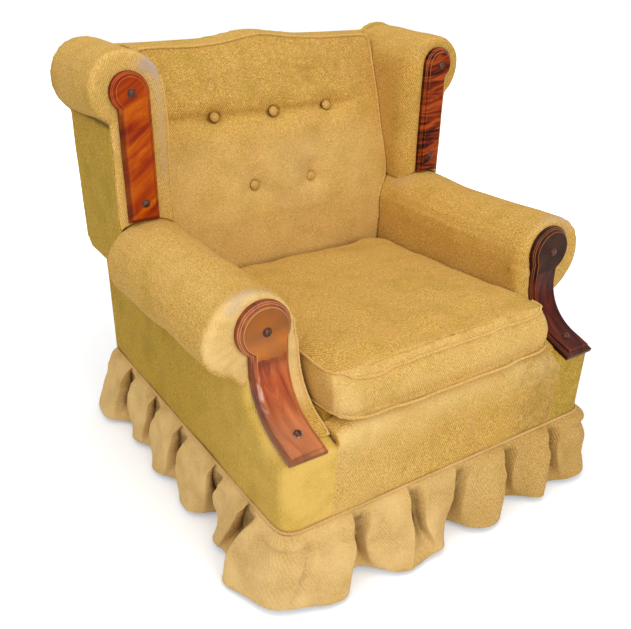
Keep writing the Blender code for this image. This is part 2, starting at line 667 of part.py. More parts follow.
def build_wing(label, side):
    """Frame, padding and outside panel of one wing, with its facing."""
    post_x = side_span(side, WING_POST_X, WING_POST_X + WING_POST_WIDTH)
    rail_x = side_span(side, WING_POST_X, WING_POST_X + WING_RAIL_WIDTH)
    foot_z = ARM_BOARD_TOP_Z + GAP
    rail_z = WING_RAIL_TOP_Z - WING_RAIL_HEIGHT
    post_y = (WING_BACK_Y, WING_BACK_Y + WING_POST_DEPTH)
    rail_y = (WING_BACK_Y, BACK_FRAME_Y - GAP)
    frame = box("wing_frame_" + label, rail_x, rail_y, (rail_z, WING_RAIL_TOP_Z), BARE_WOOD)
    combine(frame, box("wing_post_" + label, post_x, post_y, (foot_z, rail_z + 0.020)), "UNION")
    pad = add_wing_pad(label, side)

    lip = WING_OUTER_X - 0.029
    section = [
        (WING_OUTER_X - GAP, WING_UNDERSIDE_Z - 2 * GAP), (WING_OUTER_X - GAP, WING_LIP_Z + 0.038),
        (WING_OUTER_X - 0.0045, WING_LIP_Z + 0.020), (WING_OUTER_X - 0.0145, WING_LIP_Z + 0.008),
        (lip, WING_LIP_Z), (lip, WING_LIP_Z + 0.009),
        (WING_OUTER_X - 0.019, WING_LIP_Z + 0.016), (WING_OUTER_X - 0.0125, WING_LIP_Z + 0.026),
        (WING_OUTER_X - WING_PANEL, WING_LIP_Z + 0.040),
        (WING_OUTER_X - WING_PANEL, WING_UNDERSIDE_Z - 2 * GAP),
    ]
    outline = [(side * x, z) for x, z in section]
    prism("outside_wing_" + label, outline, "Y", WING_BACK_Y, OUTSIDE_BACK_Y - GAP, TWEED)

    foot = WING_DISC_Z - WING_STRIP_FOOT_Z
    disc = (WING_DISC_X, WING_DISC_RADIUS)
    facing = add_facing("wing_facing_" + label, side, disc, WING_STRIP, foot, wing_point, 3)
    face_y = WING_FACE_Y - FACING_THICKNESS - GAP
    upper = (side * WING_DISC_X, face_y, WING_DISC_Z)
    lower = (side * sum(WING_STRIP) / 2, face_y, WING_LOWER_SCREW_Z)
    add_screw("wing_screw_upper_" + label, upper, math.pi / 2, (facing, pad, frame))
    add_screw("wing_screw_lower_" + label, lower, math.pi / 2, (facing, pad, frame))


def wing_point(s, depth):
    """Y and Z on a wing facing, which is straight."""
    return WING_FACE_Y - GAP - FACING_THICKNESS + depth, WING_DISC_Z - s


def add_wing_pad(label, side):
    """The wing's inside padding with its roll and front, open outside and below for the frame."""
    stations = rounded_end(WING_FACE_Y, 0.010, 3) + [(OUTSIDE_BACK_Y - GAP, 0.0)]
    pad = sweep_y("wing_pad_" + label, wing_section, stations, side, TWEED, smooth=40)
    inner_x = WING_POST_X - GAP
    rail_x = WING_POST_X + WING_RAIL_WIDTH + GAP
    far_x = WING_OUTER_X + 0.15
    low_z = ARM_BOARD_TOP_Z
    shelf_z = WING_UNDERSIDE_Z - GAP
    section = [
        (inner_x, low_z), (inner_x, WING_RAIL_TOP_Z + GAP), (rail_x, WING_RAIL_TOP_Z + GAP),
        (rail_x, shelf_z), (far_x, shelf_z), (far_x, low_z),
    ]
    outline = [(side * x, z) for x, z in section]
    hollow = prism("wing_hollow_" + label, outline, "Y", WING_BACK_Y - GAP, REAR_Y + 0.1)
    combine(pad, hollow, "DIFFERENCE")
    arm_stations = [(WING_FACE_Y - 0.1, -GAP), (REAR_Y, -GAP)]
    combine(pad, sweep_y("arm_guide_" + label, arm_roll_section, arm_stations, side), "DIFFERENCE")
    post_x = side_span(side, 0.2, BACK_POST_X + BACK_POST_WIDTH + GAP)
    post_z = (low_z - 0.1, BACK_POST_TOP_Z + GAP)
    room = box("post_room_" + label, post_x, (PAD_REAR_Y, REAR_Y + 0.2), post_z)
    combine(pad, room, "DIFFERENCE")
    return pad


def build_back():
    """Posts, webbing, tufted inside back with its buttons, and outside back."""
    for label, side in SIDES:
        span = side_span(side, BACK_POST_X, BACK_POST_X + BACK_POST_WIDTH)
        post_y = (BACK_FRAME_Y, BACK_FRAME_Y + BACK_POST_DEPTH)
        box("back_post_" + label, span, post_y, (FRAME_BOTTOM_Z, BACK_POST_TOP_Z), BARE_WOOD)
    add_webbing()
    pad = add_back_pad()
    for label, (x, z) in BUTTONS.items():
        add_button("button_" + label, x, z, pad)
    add_outside_back()


def add_webbing():
    """Jute straps across the back frame, fixed at the stay rail and the crest rail."""
    edges = (-STRAP_WIDTH / 2, STRAP_WIDTH / 2)
    xs = [centre + edge for centre in UPRIGHT_STRAPS for edge in edges]
    crest_foot_z = BACK_POST_TOP_Z - CREST_HEIGHT
    run = crest_foot_z - STAY_TOP_Z
    zs = [STAY_TOP_Z + share * run + edge for share in CROSS_STRAPS for edge in edges]
    zs = [STAY_TOP_Z - 0.015] + zs + [crest_foot_z + 0.040]
    front_y = BACK_FRAME_Y - GAP - WEBBING
    rear_y = BACK_FRAME_Y - GAP
    panel = bmesh.new()
    grid = [[panel.verts.new((x, front_y, z)) for z in zs] for x in xs]
    for i in range(len(xs) - 1):
        for j in range(len(zs) - 1):
            if i % 2 == 0 or j % 2 == 1:
                panel.faces.new((grid[i][j], grid[i + 1][j], grid[i + 1][j + 1], grid[i][j + 1]))
    extruded = bmesh.ops.extrude_face_region(panel, geom=list(panel.faces))
    moved = [item for item in extruded["geom"] if isinstance(item, bmesh.types.BMVert)]
    bmesh.ops.translate(panel, vec=(0.0, rear_y - front_y, 0.0), verts=moved)
    loose = [vertex for vertex in panel.verts if not vertex.link_faces]
    bmesh.ops.delete(panel, geom=loose, context="VERTS")
    panel.verts.index_update()
    points = [vertex.co.copy() for vertex in panel.verts]
    faces = [tuple(vertex.index for vertex in face.verts) for face in panel.faces]
    panel.free()
    add_solid("back_webbing", points, faces, JUTE)


def add_back_pad():
    """The inside back as a grid in front, closed by its sides and a flat rear."""
    columns = 24
    rows = 20
    foot_z = DECK_REAR_Z + 0.002
    front = []
    rear = []
    for j in range(rows + 1):
        for i in range(columns + 1):
            share = 2 * i / columns - 1
            level = j / rows
            z = foot_z + (crest(share * WING_INNER_X) - foot_z) * level
            x = share * back_half_width(z)
            front.append((x, back_face_y(x, z), z))
            rear.append((x, OUTSIDE_BACK_Y - GAP, z + BACK_REAR_RISE * level))
    width = columns + 1
    faces = []
    for j in range(rows):
        for i in range(columns):
            a = j * width + i
            faces.append((a, a + 1, a + width + 1, a + width))
    border = list(range(width)) + [j * width + columns for j in range(1, rows + 1)]
    border += [rows * width + i for i in range(columns - 1, -1, -1)]
    border += [j * width for j in range(rows - 1, 0, -1)]
    points = front + [rear[index] for index in border]
    first = len(front)
    for k, index in enumerate(border):
        following = (k + 1) % len(border)
        faces.append((index, border[following], first + following, first + k))
    faces.append(tuple(range(first, first + len(border))))
    pad = add_solid("back_pad", points, faces, WORN_TWEED, smooth=60)
    room = box("crest_room", (-0.6, 0.6), (PAD_REAR_Y, REAR_Y + 0.2), (0.0, BACK_POST_TOP_Z + GAP))
    combine(pad, room, "DIFFERENCE")
    for label, side in SIDES:
        stations = [(0.0, -GAP), (REAR_Y, -GAP)]
        combine(pad, sweep_y("arm_beside_back_" + label, arm_roll_section, stations, side), "DIFFERENCE")
    return pad


def add_button(name, x, z, pad):
    """A covered button seated in its own pocket of the inside back."""
    slope = (recline(z + GAP) - recline(z - GAP)) / (2 * GAP)
    tilt = math.pi / 2 - math.atan(slope)
    profile = [
        (BUTTON_RADIUS * 0.9, 0.0),
        (BUTTON_RADIUS, BUTTON_HEIGHT * 0.3),
        (BUTTON_RADIUS * 0.8, BUTTON_HEIGHT * 0.75),
        (BUTTON_RADIUS * 0.35, BUTTON_HEIGHT),
    ]
    button = lathe(name, profile, 12, TWEED, smooth=50)
    pocket = lathe(name + "_pocket", [(BUTTON_RADIUS + GAP, -GAP), (BUTTON_RADIUS + GAP, 0.03)], 12)
    for piece in (button, pocket):
        piece.location = (x, back_face_y(x, z) + BUTTON_SINK, z)
        piece.rotation_euler = (tilt, 0.0, 0.0)
    combine(pad, pocket, "DIFFERENCE")


def add_outside_back():
    """The flat rear panel, with the wing rolls' ends at its top corners."""
    crest_steps = 10
    tuck = -math.acos((WING_OUTER_X - WING_DISC_X) / WING_ROLL_HALF_WIDTH)
    top_z = BACK_TOP_Z + BACK_REAR_RISE
    meet = math.pi - math.asin((top_z - WING_ROLL_Z) / WING_ROLL_HALF_HEIGHT)
    roll = arc((WING_DISC_X, WING_ROLL_Z), (WING_ROLL_HALF_WIDTH, WING_ROLL_HALF_HEIGHT), tuck, meet, 14)
    half = [
        (ARM_OUTER_X, FRAME_BOTTOM_Z), (ARM_OUTER_X, WING_LIP_Z), (WING_OUTER_X, WING_LIP_Z + 0.038),
    ] + roll
    for step in range(crest_steps):
        x = 0.25 * (1 - step / crest_steps)
        half.append((x, crest(x) + BACK_REAR_RISE))
    outline = half + [(0.0, crest(0.0) + BACK_REAR_RISE)] + [(-x, z) for x, z in reversed(half)]
    prism("outside_back", outline, "Y", OUTSIDE_BACK_Y, REAR_Y, TWEED)


def build_seat():
    """Front border, deck on its springs, dust cover and loose cushion."""
    half = SEAT_HALF_WIDTH - GAP
    nose = arc((FRONT_Y + 0.035, BORDER_TOP_Z - 0.035), (0.035, 0.035), math.pi, math.pi / 2, 5)
    outline = [(FRONT_Y, FRAME_BOTTOM_Z)] + nose + [
        (NOSE_REAR_Y, BORDER_TOP_Z), (NOSE_REAR_Y, RAIL_TOP_Z + GAP),
        (FRONT_RAIL_Y - GAP, RAIL_TOP_Z + GAP), (FRONT_RAIL_Y - GAP, FRAME_BOTTOM_Z),
    ]
    prism("front_border", outline, "X", -half, half, TWEED)

    deck_x = spread(-SEAT_HALF_WIDTH + 0.0005, SEAT_HALF_WIDTH - 0.0005, 8)
    deck_y = spread(NOSE_REAR_Y + GAP, DECK_REAR_Y, 11)
    slab("seat_deck", deck_x, deck_y, deck_z, lambda x, y: deck_z(x, y) - DECK_THICKNESS, JUTE, smooth=40)

    for index in range(SPRING_COUNT):
        centre_x = (index - (SPRING_COUNT - 1) / 2) * SPRING_SPACING
        add_spring("seat_spring_%d" % (index + 1), centre_x)
    add_dust_cover()
    add_cushion()


def add_spring(name, centre_x):
    """A zigzag seat spring with a clip at each rail."""
    start_y = FRONT_RAIL_Y + RAIL + GAP + CLIP[1] * 0.5
    stop_y = BACK_FRAME_Y - GAP - CLIP[1] * 0.5
    lead = 0.012
    turns = int((stop_y - start_y - 2 * lead) / SPRING_PITCH)
    pitch = (stop_y - start_y - 2 * lead) / turns
    stations = [(centre_x, start_y)]
    for bar in range(turns + 1):
        y = start_y + lead + bar * pitch
        reach = SPRING_HALF_WIDTH if bar % 2 == 0 else -SPRING_HALF_WIDTH
        if bar > 0:
            stations.append((centre_x - reach * 0.6, y))
        if bar < turns:
            stations.append((centre_x + reach * 0.6, y))
            stations.append((centre_x + reach, y + pitch * 0.5))
    stations.append((centre_x, stop_y))
    drop = DECK_THICKNESS + WIRE_RADIUS + 0.0022
    path = [Vector((x, y, deck_z(x, y) - drop)) for x, y in stations]
    spring = tube(name, path, WIRE_RADIUS, 5, SPRING_STEEL)
    for end, point in (("front", path[0]), ("rear", path[-1])):
        clip_x = (point.x - CLIP[0] / 2, point.x + CLIP[0] / 2)
        clip_y = (point.y - CLIP[1] / 2, point.y + CLIP[1] / 2)
        clip_z = (point.z - CLIP[2] + 0.006, point.z + 0.0035)
        if end == "front":
            clip_z = (clip_z[0], min(clip_z[1], RAIL_TOP_Z))
        combine(spring, box("%s_%s_clip" % (name, end), clip_x, clip_y, clip_z), "UNION")


def add_dust_cover():
    """Black cloth tacked under the frame, cut out round the legs."""
    x = POST_OUTER_X - 0.003
    notch_x = POST_INNER_X - 0.012
    front, rear = FRONT_RAIL_Y, BACK_FRAME_Y + RAIL
    notch_front = FRONT_Y + POST_FOOT_DEPTH + 0.005
    notch_rear = BACK_FRAME_Y - 0.010
    half = [
        (notch_x, front), (notch_x, notch_front), (x, notch_front),
        (x, notch_rear), (notch_x, notch_rear), (notch_x, rear),
    ]
    outline = half + [(-u, v) for u, v in reversed(half)]
    prism("dust_cover", outline, "Z", FRAME_BOTTOM_Z - GAP - 0.002, FRAME_BOTTOM_Z - GAP, BLACK_CLOTH)


def rounded_rectangle(half_x, half_y, radius, side_steps, corner_steps):
    """Points round a rectangle with round corners, anticlockwise from its right side."""
    points = []
    for quarter in range(4):
        start = quarter * math.pi / 2
        sign_x = 1 if quarter in (0, 3) else -1
        sign_y = 1 if quarter in (0, 1) else -1
        centre = (sign_x * (half_x - radius), sign_y * (half_y - radius))
        corner = arc(centre, (radius, radius), start, start + math.pi / 2, corner_steps)
        length = 2 * (half_x if quarter % 2 == 0 else half_y) - 2 * radius
        run = (-math.sin(start + math.pi / 2), math.cos(start + math.pi / 2))
        points += corner
        for step in range(1, side_steps):
            distance = length * step / side_steps
            points.append((corner[-1][0] + run[0] * distance, corner[-1][1] + run[1] * distance))
    return points


def add_cushion():
    """The loose boxed cushion, higher at its seams than where it has sagged."""
    half = SEAT_HALF_WIDTH - CUSHION_SIDE_GAP
    middle_y = (CUSHION_FRONT_Y + CUSHION_REAR_Y) / 2
    half_depth = (CUSHION_REAR_Y - CUSHION_FRONT_Y) / 2
    plan = rounded_rectangle(half, half_depth, CUSHION_CORNER, 7, 4)

    def seam_z(y):
        run = (y - CUSHION_FRONT_Y) / (CUSHION_REAR_Y - CUSHION_FRONT_Y)
        return CUSHION_SEAM_FRONT_Z + (CUSHION_SEAM_REAR_Z - CUSHION_SEAM_FRONT_Z) * min(1.0, max(0.0, run))

    def ring(scale, overhang, height):
        points = []
        for plan_x, plan_y in plan:
            x = plan_x * scale
            forward = max(0.0, -plan_y / half_depth) ** 4
            y = middle_y + plan_y * scale - overhang * forward * (1 - 0.5 * (plan_x / half) ** 2)
            bottom = deck_z(x, max(y, FRONT_Y)) - 0.004
            top = seam_z(y) + CUSHION_CROWN * (1 - scale ** 2)
            points.append((x, y, bottom + (top - bottom) * height))
        return points

    rings = [
        ring(0.30, 0.0, 0.0), ring(0.65, 0.0, 0.0), ring(0.90, CUSHION_OVERHANG * 0.6, 0.0),
        ring(0.99, CUSHION_OVERHANG, 0.0), ring(1.0, CUSHION_OVERHANG, 0.30),
        ring(1.0, CUSHION_OVERHANG * 0.6, 0.65), ring(0.985, -CUSHION_OVERHANG * 0.4, 1.0),
        ring(0.93, -CUSHION_OVERHANG * 0.4, 1.0), ring(0.65, 0.0, 1.0), ring(0.30, 0.0, 1.0),
    ]
    cushion = loft("seat_cushion", rings, TWEED, smooth=40)
    deck_x = spread(-SEAT_HALF_WIDTH + 0.0005, SEAT_HALF_WIDTH - 0.0005, 8)
    deck_y = [FRONT_Y - 0.1] + spread(NOSE_REAR_Y + GAP, DECK_REAR_Y, 11)
    top = lambda x, y: deck_z(x, y) + CUSHION_REST
    guide = slab("deck_guide", deck_x, deck_y, top, lambda x, y: deck_z(x, y) - 0.05)
    combine(cushion, guide, "DIFFERENCE")


def base_corners():
    """Corner centres and radii of the base outline, from the front left, anticlockwise from above."""
    front = FRONT_CORNER_RADIUS
    rear = 0.0015
    return [
        (-ARM_OUTER_X + front, FRONT_Y + front, front, math.pi),
        (ARM_OUTER_X - front, FRONT_Y + front, front, 1.5 * math.pi),
        (ARM_OUTER_X - rear, REAR_Y - rear, rear, 0.0),
        (-ARM_OUTER_X + rear, REAR_Y - rear, rear, 0.5 * math.pi),
    ]


def pleat_points():
    """Points of the base outline, anticlockwise, where the skirt is folded in."""
    front = [Vector((ARM_OUTER_X * share, FRONT_Y)) for share in FRONT_PLEATS]
    right = [Vector((ARM_OUTER_X, REAR_Y * share)) for share in SIDE_PLEATS]
    rear = [Vector((ARM_OUTER_X * share, REAR_Y)) for share in reversed(FRONT_PLEATS)]
    left = [Vector((-ARM_OUTER_X, REAR_Y * share)) for share in reversed(SIDE_PLEATS)]
    return front + right + rear + left


def skirt_stations():
    """Places round the base as point, outward direction and how far the lobe stands out there."""
    outline = []
    for x, y, radius, start in base_corners():
        steps = max(2, round(radius / 0.005))
        for step in range(steps + 1):
            angle = start + math.pi / 2 * step / steps
            outward = Vector((math.cos(angle), math.sin(angle)))
            outline.append((Vector((x, y)) + outward * radius, outward))
    folds = pleat_points()
    stations = []
    for index, (point, outward) in enumerate(outline):
        following, next_outward = outline[(index + 1) % len(outline)]
        stations.append((point, outward))
        if (outward - next_outward).length > 1e-6:
            continue
        run = following - point
        on_side = [fold for fold in folds if abs((fold - point).dot(outward)) < 1e-6]
        marks = sorted((fold - point).dot(run.normalized()) for fold in on_side)
        bounds = [0.0] + marks + [run.length]
        for low, high in zip(bounds, bounds[1:]):
            count = max(3, round((high - low) / 0.020))
            for step in range(1, count + 1):
                share = (1 - math.cos(math.pi * step / count)) / 2
                distance = low + (high - low) * share
                if distance < run.length - 1e-6:
                    stations.append((point + run.normalized() * distance, outward))
    lengths = [0.0]
    for (here, _), (there, _) in zip(stations, stations[1:]):
        lengths.append(lengths[-1] + (there - here).length)
    total = lengths[-1] + (stations[0][0] - stations[-1][0]).length
    marks = []
    for fold in folds:
        marks.append(min(zip(stations, lengths), key=lambda item: (item[0][0] - fold).length)[1])
    marks.sort()
    result = []
    for (point, outward), length in zip(stations, lengths):
        before = max([mark for mark in marks if mark <= length + 1e-9], default=marks[-1] - total)
        after = min([mark for mark in marks if mark > length + 1e-9], default=marks[0] + total)
        swell = math.sin(math.pi * (length - before) / (after - before)) ** 0.7
        result.append((point, outward, SKIRT_VALLEY + (SKIRT_LOBE - SKIRT_VALLEY) * swell))
    return result


def build_skirt():
    """The pleated skirt: one closed strip of lined cloth hung round the base."""
    levels = (0.0, 0.16, 0.55, 1.0)
    stations = skirt_stations()
    count = len(stations)
    points = []
    for cloth in (0.0, SKIRT_CLOTH):
        for level in levels:
            z = SKIRT_TOP_Z + (SKIRT_HEM_Z - SKIRT_TOP_Z) * level
            for point, outward, lobe in stations:
                offset = SKIRT_STAND_OFF + lobe * level ** 0.85 + cloth
                place = point + outward * offset
                points.append((place.x, place.y, z))
    faces = []
    depth = len(levels)
    for sheet in (0, depth):
        for row in range(depth - 1):
            for i in range(count):
                a = (sheet + row) * count + i
                b = (sheet + row) * count + (i + 1) % count
                faces.append((a, b, b + count, a + count))
    for row in (0, depth - 1):
        for i in range(count):
            a = row * count + i
            b = row * count + (i + 1) % count
            faces.append((a, b, b + depth * count, a + depth * count))
    add_solid("skirt", points, faces, WORN_TWEED, smooth=50)


clear_scene()
CHAIR = bpy.data.objects.new("chair", None)
bpy.context.scene.collection.objects.link(CHAIR)
SIDES = (("left", -1), ("right", 1))

build_base_frame()
for arm_label, arm_side in SIDES:
    build_arm(arm_label, arm_side)
    build_wing(arm_label, arm_side)
build_back()
build_seat()
build_skirt()
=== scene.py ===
"""Looks of the sagging wing club chair: worn mustard tweed, show wood and a pleated skirt.

Metres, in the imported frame. The chair faces -Y, and right is the viewer's right, +X.
"""

import enum
import logging
import math
from contextlib import contextmanager
from dataclasses import dataclass, field
from typing import Any, Callable, Iterator, Optional, Sequence

import bmesh
import bpy
import numpy as np
from mathutils import Matrix, Vector


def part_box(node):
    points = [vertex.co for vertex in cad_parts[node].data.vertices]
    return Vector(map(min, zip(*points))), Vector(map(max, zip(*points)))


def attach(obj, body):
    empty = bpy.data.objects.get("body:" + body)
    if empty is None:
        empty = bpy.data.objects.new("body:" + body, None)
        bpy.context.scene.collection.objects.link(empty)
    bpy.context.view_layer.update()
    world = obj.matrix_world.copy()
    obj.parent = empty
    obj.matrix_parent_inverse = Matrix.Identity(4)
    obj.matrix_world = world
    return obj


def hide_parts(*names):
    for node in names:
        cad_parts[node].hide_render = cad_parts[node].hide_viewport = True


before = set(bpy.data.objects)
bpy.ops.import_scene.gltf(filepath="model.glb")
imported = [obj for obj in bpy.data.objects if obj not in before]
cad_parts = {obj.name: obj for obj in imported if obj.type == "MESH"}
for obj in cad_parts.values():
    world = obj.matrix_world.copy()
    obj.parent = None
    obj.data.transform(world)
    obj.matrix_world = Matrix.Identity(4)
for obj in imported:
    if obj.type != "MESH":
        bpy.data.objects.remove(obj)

LOG = logging.getLogger("chair")
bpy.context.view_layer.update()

Array = np.ndarray
Piece = bpy.types.Object
Material = bpy.types.Material
Tree = bpy.types.NodeTree
Socket = bpy.types.NodeSocket
Pair = tuple[float, float]
Triple = tuple[float, float, float]


class Side(enum.IntEnum):
    """Which half of the chair a mirrored piece belongs to, as the sign of X."""

    LEFT = -1
    RIGHT = 1

    @property
    def label(self) -> str:
        """The side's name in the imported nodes."""
        return "left" if self is Side.LEFT else "right"


# Small helpers for meshes


def linear(code: str) -> tuple[float, float, float, float]:
    """Turns an sRGB hex colour into linear light.

    Args:
        code: colour as "#rrggbb".

    Returns:
        Red, green, blue and an alpha of one.
    """
    parts = [int(code[i:i + 2], 16) / 255 for i in (1, 3, 5)]
    light = [c / 12.92 if c <= 0.04045 else ((c + 0.055) / 1.055) ** 2.4 for c in parts]
    return light[0], light[1], light[2], 1.0


def only(piece: Piece) -> None:
    """Leaves one object selected and active.

    Args:
        piece: the object to work on.
    """
    if bpy.context.object and bpy.context.object.mode != "OBJECT":
        bpy.ops.object.mode_set(mode="OBJECT")
    bpy.ops.object.select_all(action="DESELECT")
    piece.select_set(True)
    bpy.context.view_layer.objects.active = piece


@contextmanager
def edit_mode(piece: Piece, action: Optional[str] = "SELECT") -> Iterator[None]:
    """Opens a piece in edit mode, and closes it again.

    Args:
        piece: the object to edit.
        action: what is done to its selection first, or None to leave that as it is.

    Returns:
        A context in which the piece is open.
    """
    only(piece)
    bpy.ops.object.mode_set(mode="EDIT")
    if action:
        bpy.ops.mesh.select_all(action=action)
    yield
    bpy.ops.object.mode_set(mode="OBJECT")


def add_object(name: str, data: bpy.types.ID) -> Piece:
    """Makes an object of a mesh, curve, camera or light, and links it to the scene.

    Args:
        name: the object's name.
        data: its mesh, curve, camera or light.

    Returns:
        The object.
    """
    made = bpy.data.objects.new(name, data)
    bpy.context.scene.collection.objects.link(made)
    return made


def apply_modifier(piece: Piece, kind: str, **settings: Any) -> None:
    """Adds a modifier, sets it and applies it.

    Args:
        piece: the object to change.
        kind: Blender's modifier type.
        settings: its properties by name.
    """
    only(piece)
    modifier = piece.modifiers.new(kind.title(), kind)
    for name, value in settings.items():
        setattr(modifier, name, value)
    bpy.ops.object.modifier_apply(modifier=modifier.name)


def cad_copy(node: str, name: str) -> Piece:
    """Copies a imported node's mesh into a new object and merges its loose triangles.

    Args:
        node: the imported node's name.
        name: the new object's name.

    Returns:
        The copy, linked to the scene.
    """
    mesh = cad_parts[node].data.copy()
    mesh.materials.clear()
    piece = add_object(name, mesh)
    with edit_mode(piece):
        bpy.ops.mesh.remove_doubles(threshold=0.00001)
    return piece


def places(piece: Piece) -> Array:
    """Vertex places of a piece as an N by 3 array.

    Args:
        piece: the object.

    Returns:
        One row of X, Y and Z for each vertex.
    """
    co = np.empty(len(piece.data.vertices) * 3)
    piece.data.vertices.foreach_get("co", co)
    return co.reshape(-1, 3)


def normals(piece: Piece) -> Array:
    """Vertex normals of a piece as an N by 3 array.

    Args:
        piece: the object.

    Returns:
        One row of X, Y and Z for each vertex.
    """
    out = np.empty(len(piece.data.vertices) * 3)
    piece.data.vertices.foreach_get("normal", out)
    return out.reshape(-1, 3)


def move_to(piece: Piece, place: Array) -> None:
    """Writes vertex places back to a piece."""
    piece.data.vertices.foreach_set("co", place.ravel())
    piece.data.update()


def paint(piece: Piece, name: str, values: Array) -> None:
    """Stores one number per vertex, from 0 to 1, under a name that a material reads.

    Args:
        piece: the object to paint.
        name: the attribute's name.
        values: one number per vertex.
    """
    layer = piece.data.attributes.new(name, "FLOAT", "POINT")
    layer.data.foreach_set("value", np.clip(values, 0.0, 1.0).astype(np.float32))


def face_outwards(piece: Piece) -> None:
    """Turns every face of a closed piece outwards."""
    with edit_mode(piece):
        bpy.ops.mesh.normals_make_consistent(inside=False)


def smooth(piece: Piece, degrees: float) -> None:
    """Shades a piece smooth, with edges sharper than an angle kept crisp."""
    only(piece)
    bpy.ops.object.shade_smooth_by_angle(angle=math.radians(degrees))


def bump(value: Array, centre: float, width: float) -> Array:
    """A bell curve of height one."""
    return np.exp(-(((value - centre) / width) ** 2))


def step(value: Array, low: float, high: float) -> Array:
    """A smooth rise from zero at low to one at high, or a fall where low is the greater."""
    t = np.clip((value - low) / (high - low), 0.0, 1.0)
    return t * t * (3 - 2 * t)


def lumps(place: Array, wavelength: float, seed: int) -> Array:
    """Soft uneven stuffing, as a sum of waves in fixed directions.

    Args:
        place: N by 3 places.
        wavelength: typical distance between lumps in metres.
        seed: which pattern.

    Returns:
        N heights, mostly from -1 to 1.
    """
    rng = np.random.default_rng(seed)
    total = np.zeros(len(place))
    for _ in range(12):
        way = rng.normal(size=3)
        way /= np.linalg.norm(way)
        rate = 2 * math.pi / (wavelength * rng.uniform(0.7, 1.7))
        total += np.sin(place @ way * rate + rng.uniform(0, 2 * math.pi))
    return total / 3.5


def lay_weave(piece: Piece, chart: Callable[[Array, Array], Array]) -> None:
    """Lays the weave on a piece as a UV map in metres.

    Args:
        piece: the object.
        chart: gives U and V for corner places and their face normals.
    """
    mesh = piece.data
    corners = np.empty(len(mesh.loops), np.int64)
    mesh.loops.foreach_get("vertex_index", corners)
    face_normals = np.empty(len(mesh.polygons) * 3)
    mesh.polygons.foreach_get("normal", face_normals)
    sizes = np.empty(len(mesh.polygons), np.int64)
    mesh.polygons.foreach_get("loop_total", sizes)
    spread = np.repeat(face_normals.reshape(-1, 3), sizes, axis=0)
    layer = mesh.uv_layers.new(name="weave")
    layer.data.foreach_set("uv", chart(places(piece)[corners], spread).astype(np.float32).ravel())


def flat_chart(place: Array, normal: Array) -> Array:
    """Lays the weave square on whichever of three planes a face looks along, never mirrored.

    Args:
        place: N by 3 corner places.
        normal: their faces' normals.

    Returns:
        U and V of each corner, in metres.
    """
    main = np.abs(normal).argmax(axis=1)
    u = np.where(main == 0, place[:, 1] * np.sign(normal[:, 0]), place[:, 0])
    u = np.where(main == 1, -place[:, 0] * np.sign(normal[:, 1]), u)
    v = np.where(main == 2, place[:, 1], place[:, 2])
    return np.stack([u, v], axis=1)


def pressed(piece: Piece, pressure: float, most: float) -> Array:
    """Runs a cloth simulation that blows a piece up, and gives how far each point moves.

    Args:
        piece: the closed piece, which itself stays as it is.
        pressure: the simulation's uniform pressure.
        most: the greatest move in metres.

    Returns:
        N by 3 moves, none longer than the greatest move.
    """
    before = places(piece)
    modifier = piece.modifiers.new("Cloth", "CLOTH")
    modifier.settings.use_pressure = True
    modifier.settings.uniform_pressure_force = pressure
    modifier.settings.effector_weights.gravity = 0.0
    modifier.settings.quality = 5
    modifier.point_cache.frame_end = 20
    for number in range(1, 21):
        bpy.context.scene.frame_set(number)
    puffed = piece.evaluated_get(bpy.context.evaluated_depsgraph_get())
    after = places(puffed)
    piece.modifiers.remove(modifier)
    bpy.context.scene.frame_set(1)
    move = after - before
    length = np.linalg.norm(move, axis=1, keepdims=True)
    LOG.info("%s swells %.1f mm", piece.name, 1000 * length.max())
    return move * np.minimum(1.0, most / np.maximum(length, 1e-9))


def dress(piece: Piece, material: Material, nodes: Sequence[str]) -> None:
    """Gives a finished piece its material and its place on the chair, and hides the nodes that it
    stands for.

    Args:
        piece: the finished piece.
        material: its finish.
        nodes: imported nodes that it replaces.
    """
    piece.data.materials.clear()
    piece.data.materials.append(material)
    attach(piece, "root")
    if nodes:
        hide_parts(*nodes)
    LOG.info("%s: %d faces", piece.name, len(piece.data.polygons))


# Finishes


def feed(tree: Tree, node: bpy.types.Node, inputs: dict[Any, Any]) -> None:
    """Sets a node's inputs to values, or links them to sockets.

    Args:
        tree: the node's tree.
        node: the node.
        inputs: values, or sockets to link from, by input name or number.
    """
    for name, value in inputs.items():
        if isinstance(value, Socket):
            tree.links.new(value, node.inputs[name])
        else:
            node.inputs[name].default_value = value


def add_node(
    tree: Tree,
    kind: str,
    inputs: Optional[dict[Any, Any]] = None,
    stops: Sequence[tuple[float, str]] = (),
    **settings: Any,
) -> bpy.types.Node:
    """Adds a shader node with its settings, values and links.

    Args:
        tree: the material's node tree.
        kind: the node's type.
        inputs: values, or sockets to link from, by input name or number.
        stops: a ramp's pairs of position and hex colour.
        settings: the node's own properties.

    Returns:
        The new node.
    """
    node = tree.nodes.new(kind)
    for name, value in settings.items():
        setattr(node, name, value)
    feed(tree, node, inputs or {})
    for index, (position, code) in enumerate(stops):
        elements = node.color_ramp.elements
        element = elements[index] if index < len(elements) else elements.new(position)
        element.position = position
        element.color = linear(code)
    return node


def start_material(name: str) -> tuple[Material, Tree, bpy.types.Node]:
    """Makes an empty node material.

    Args:
        name: the finish's name.

    Returns:
        The material, its tree and its Principled shader.
    """
    material = bpy.data.materials.new(name)
    material.use_nodes = True
    tree = material.node_tree
    return material, tree, tree.nodes["Principled BSDF"]


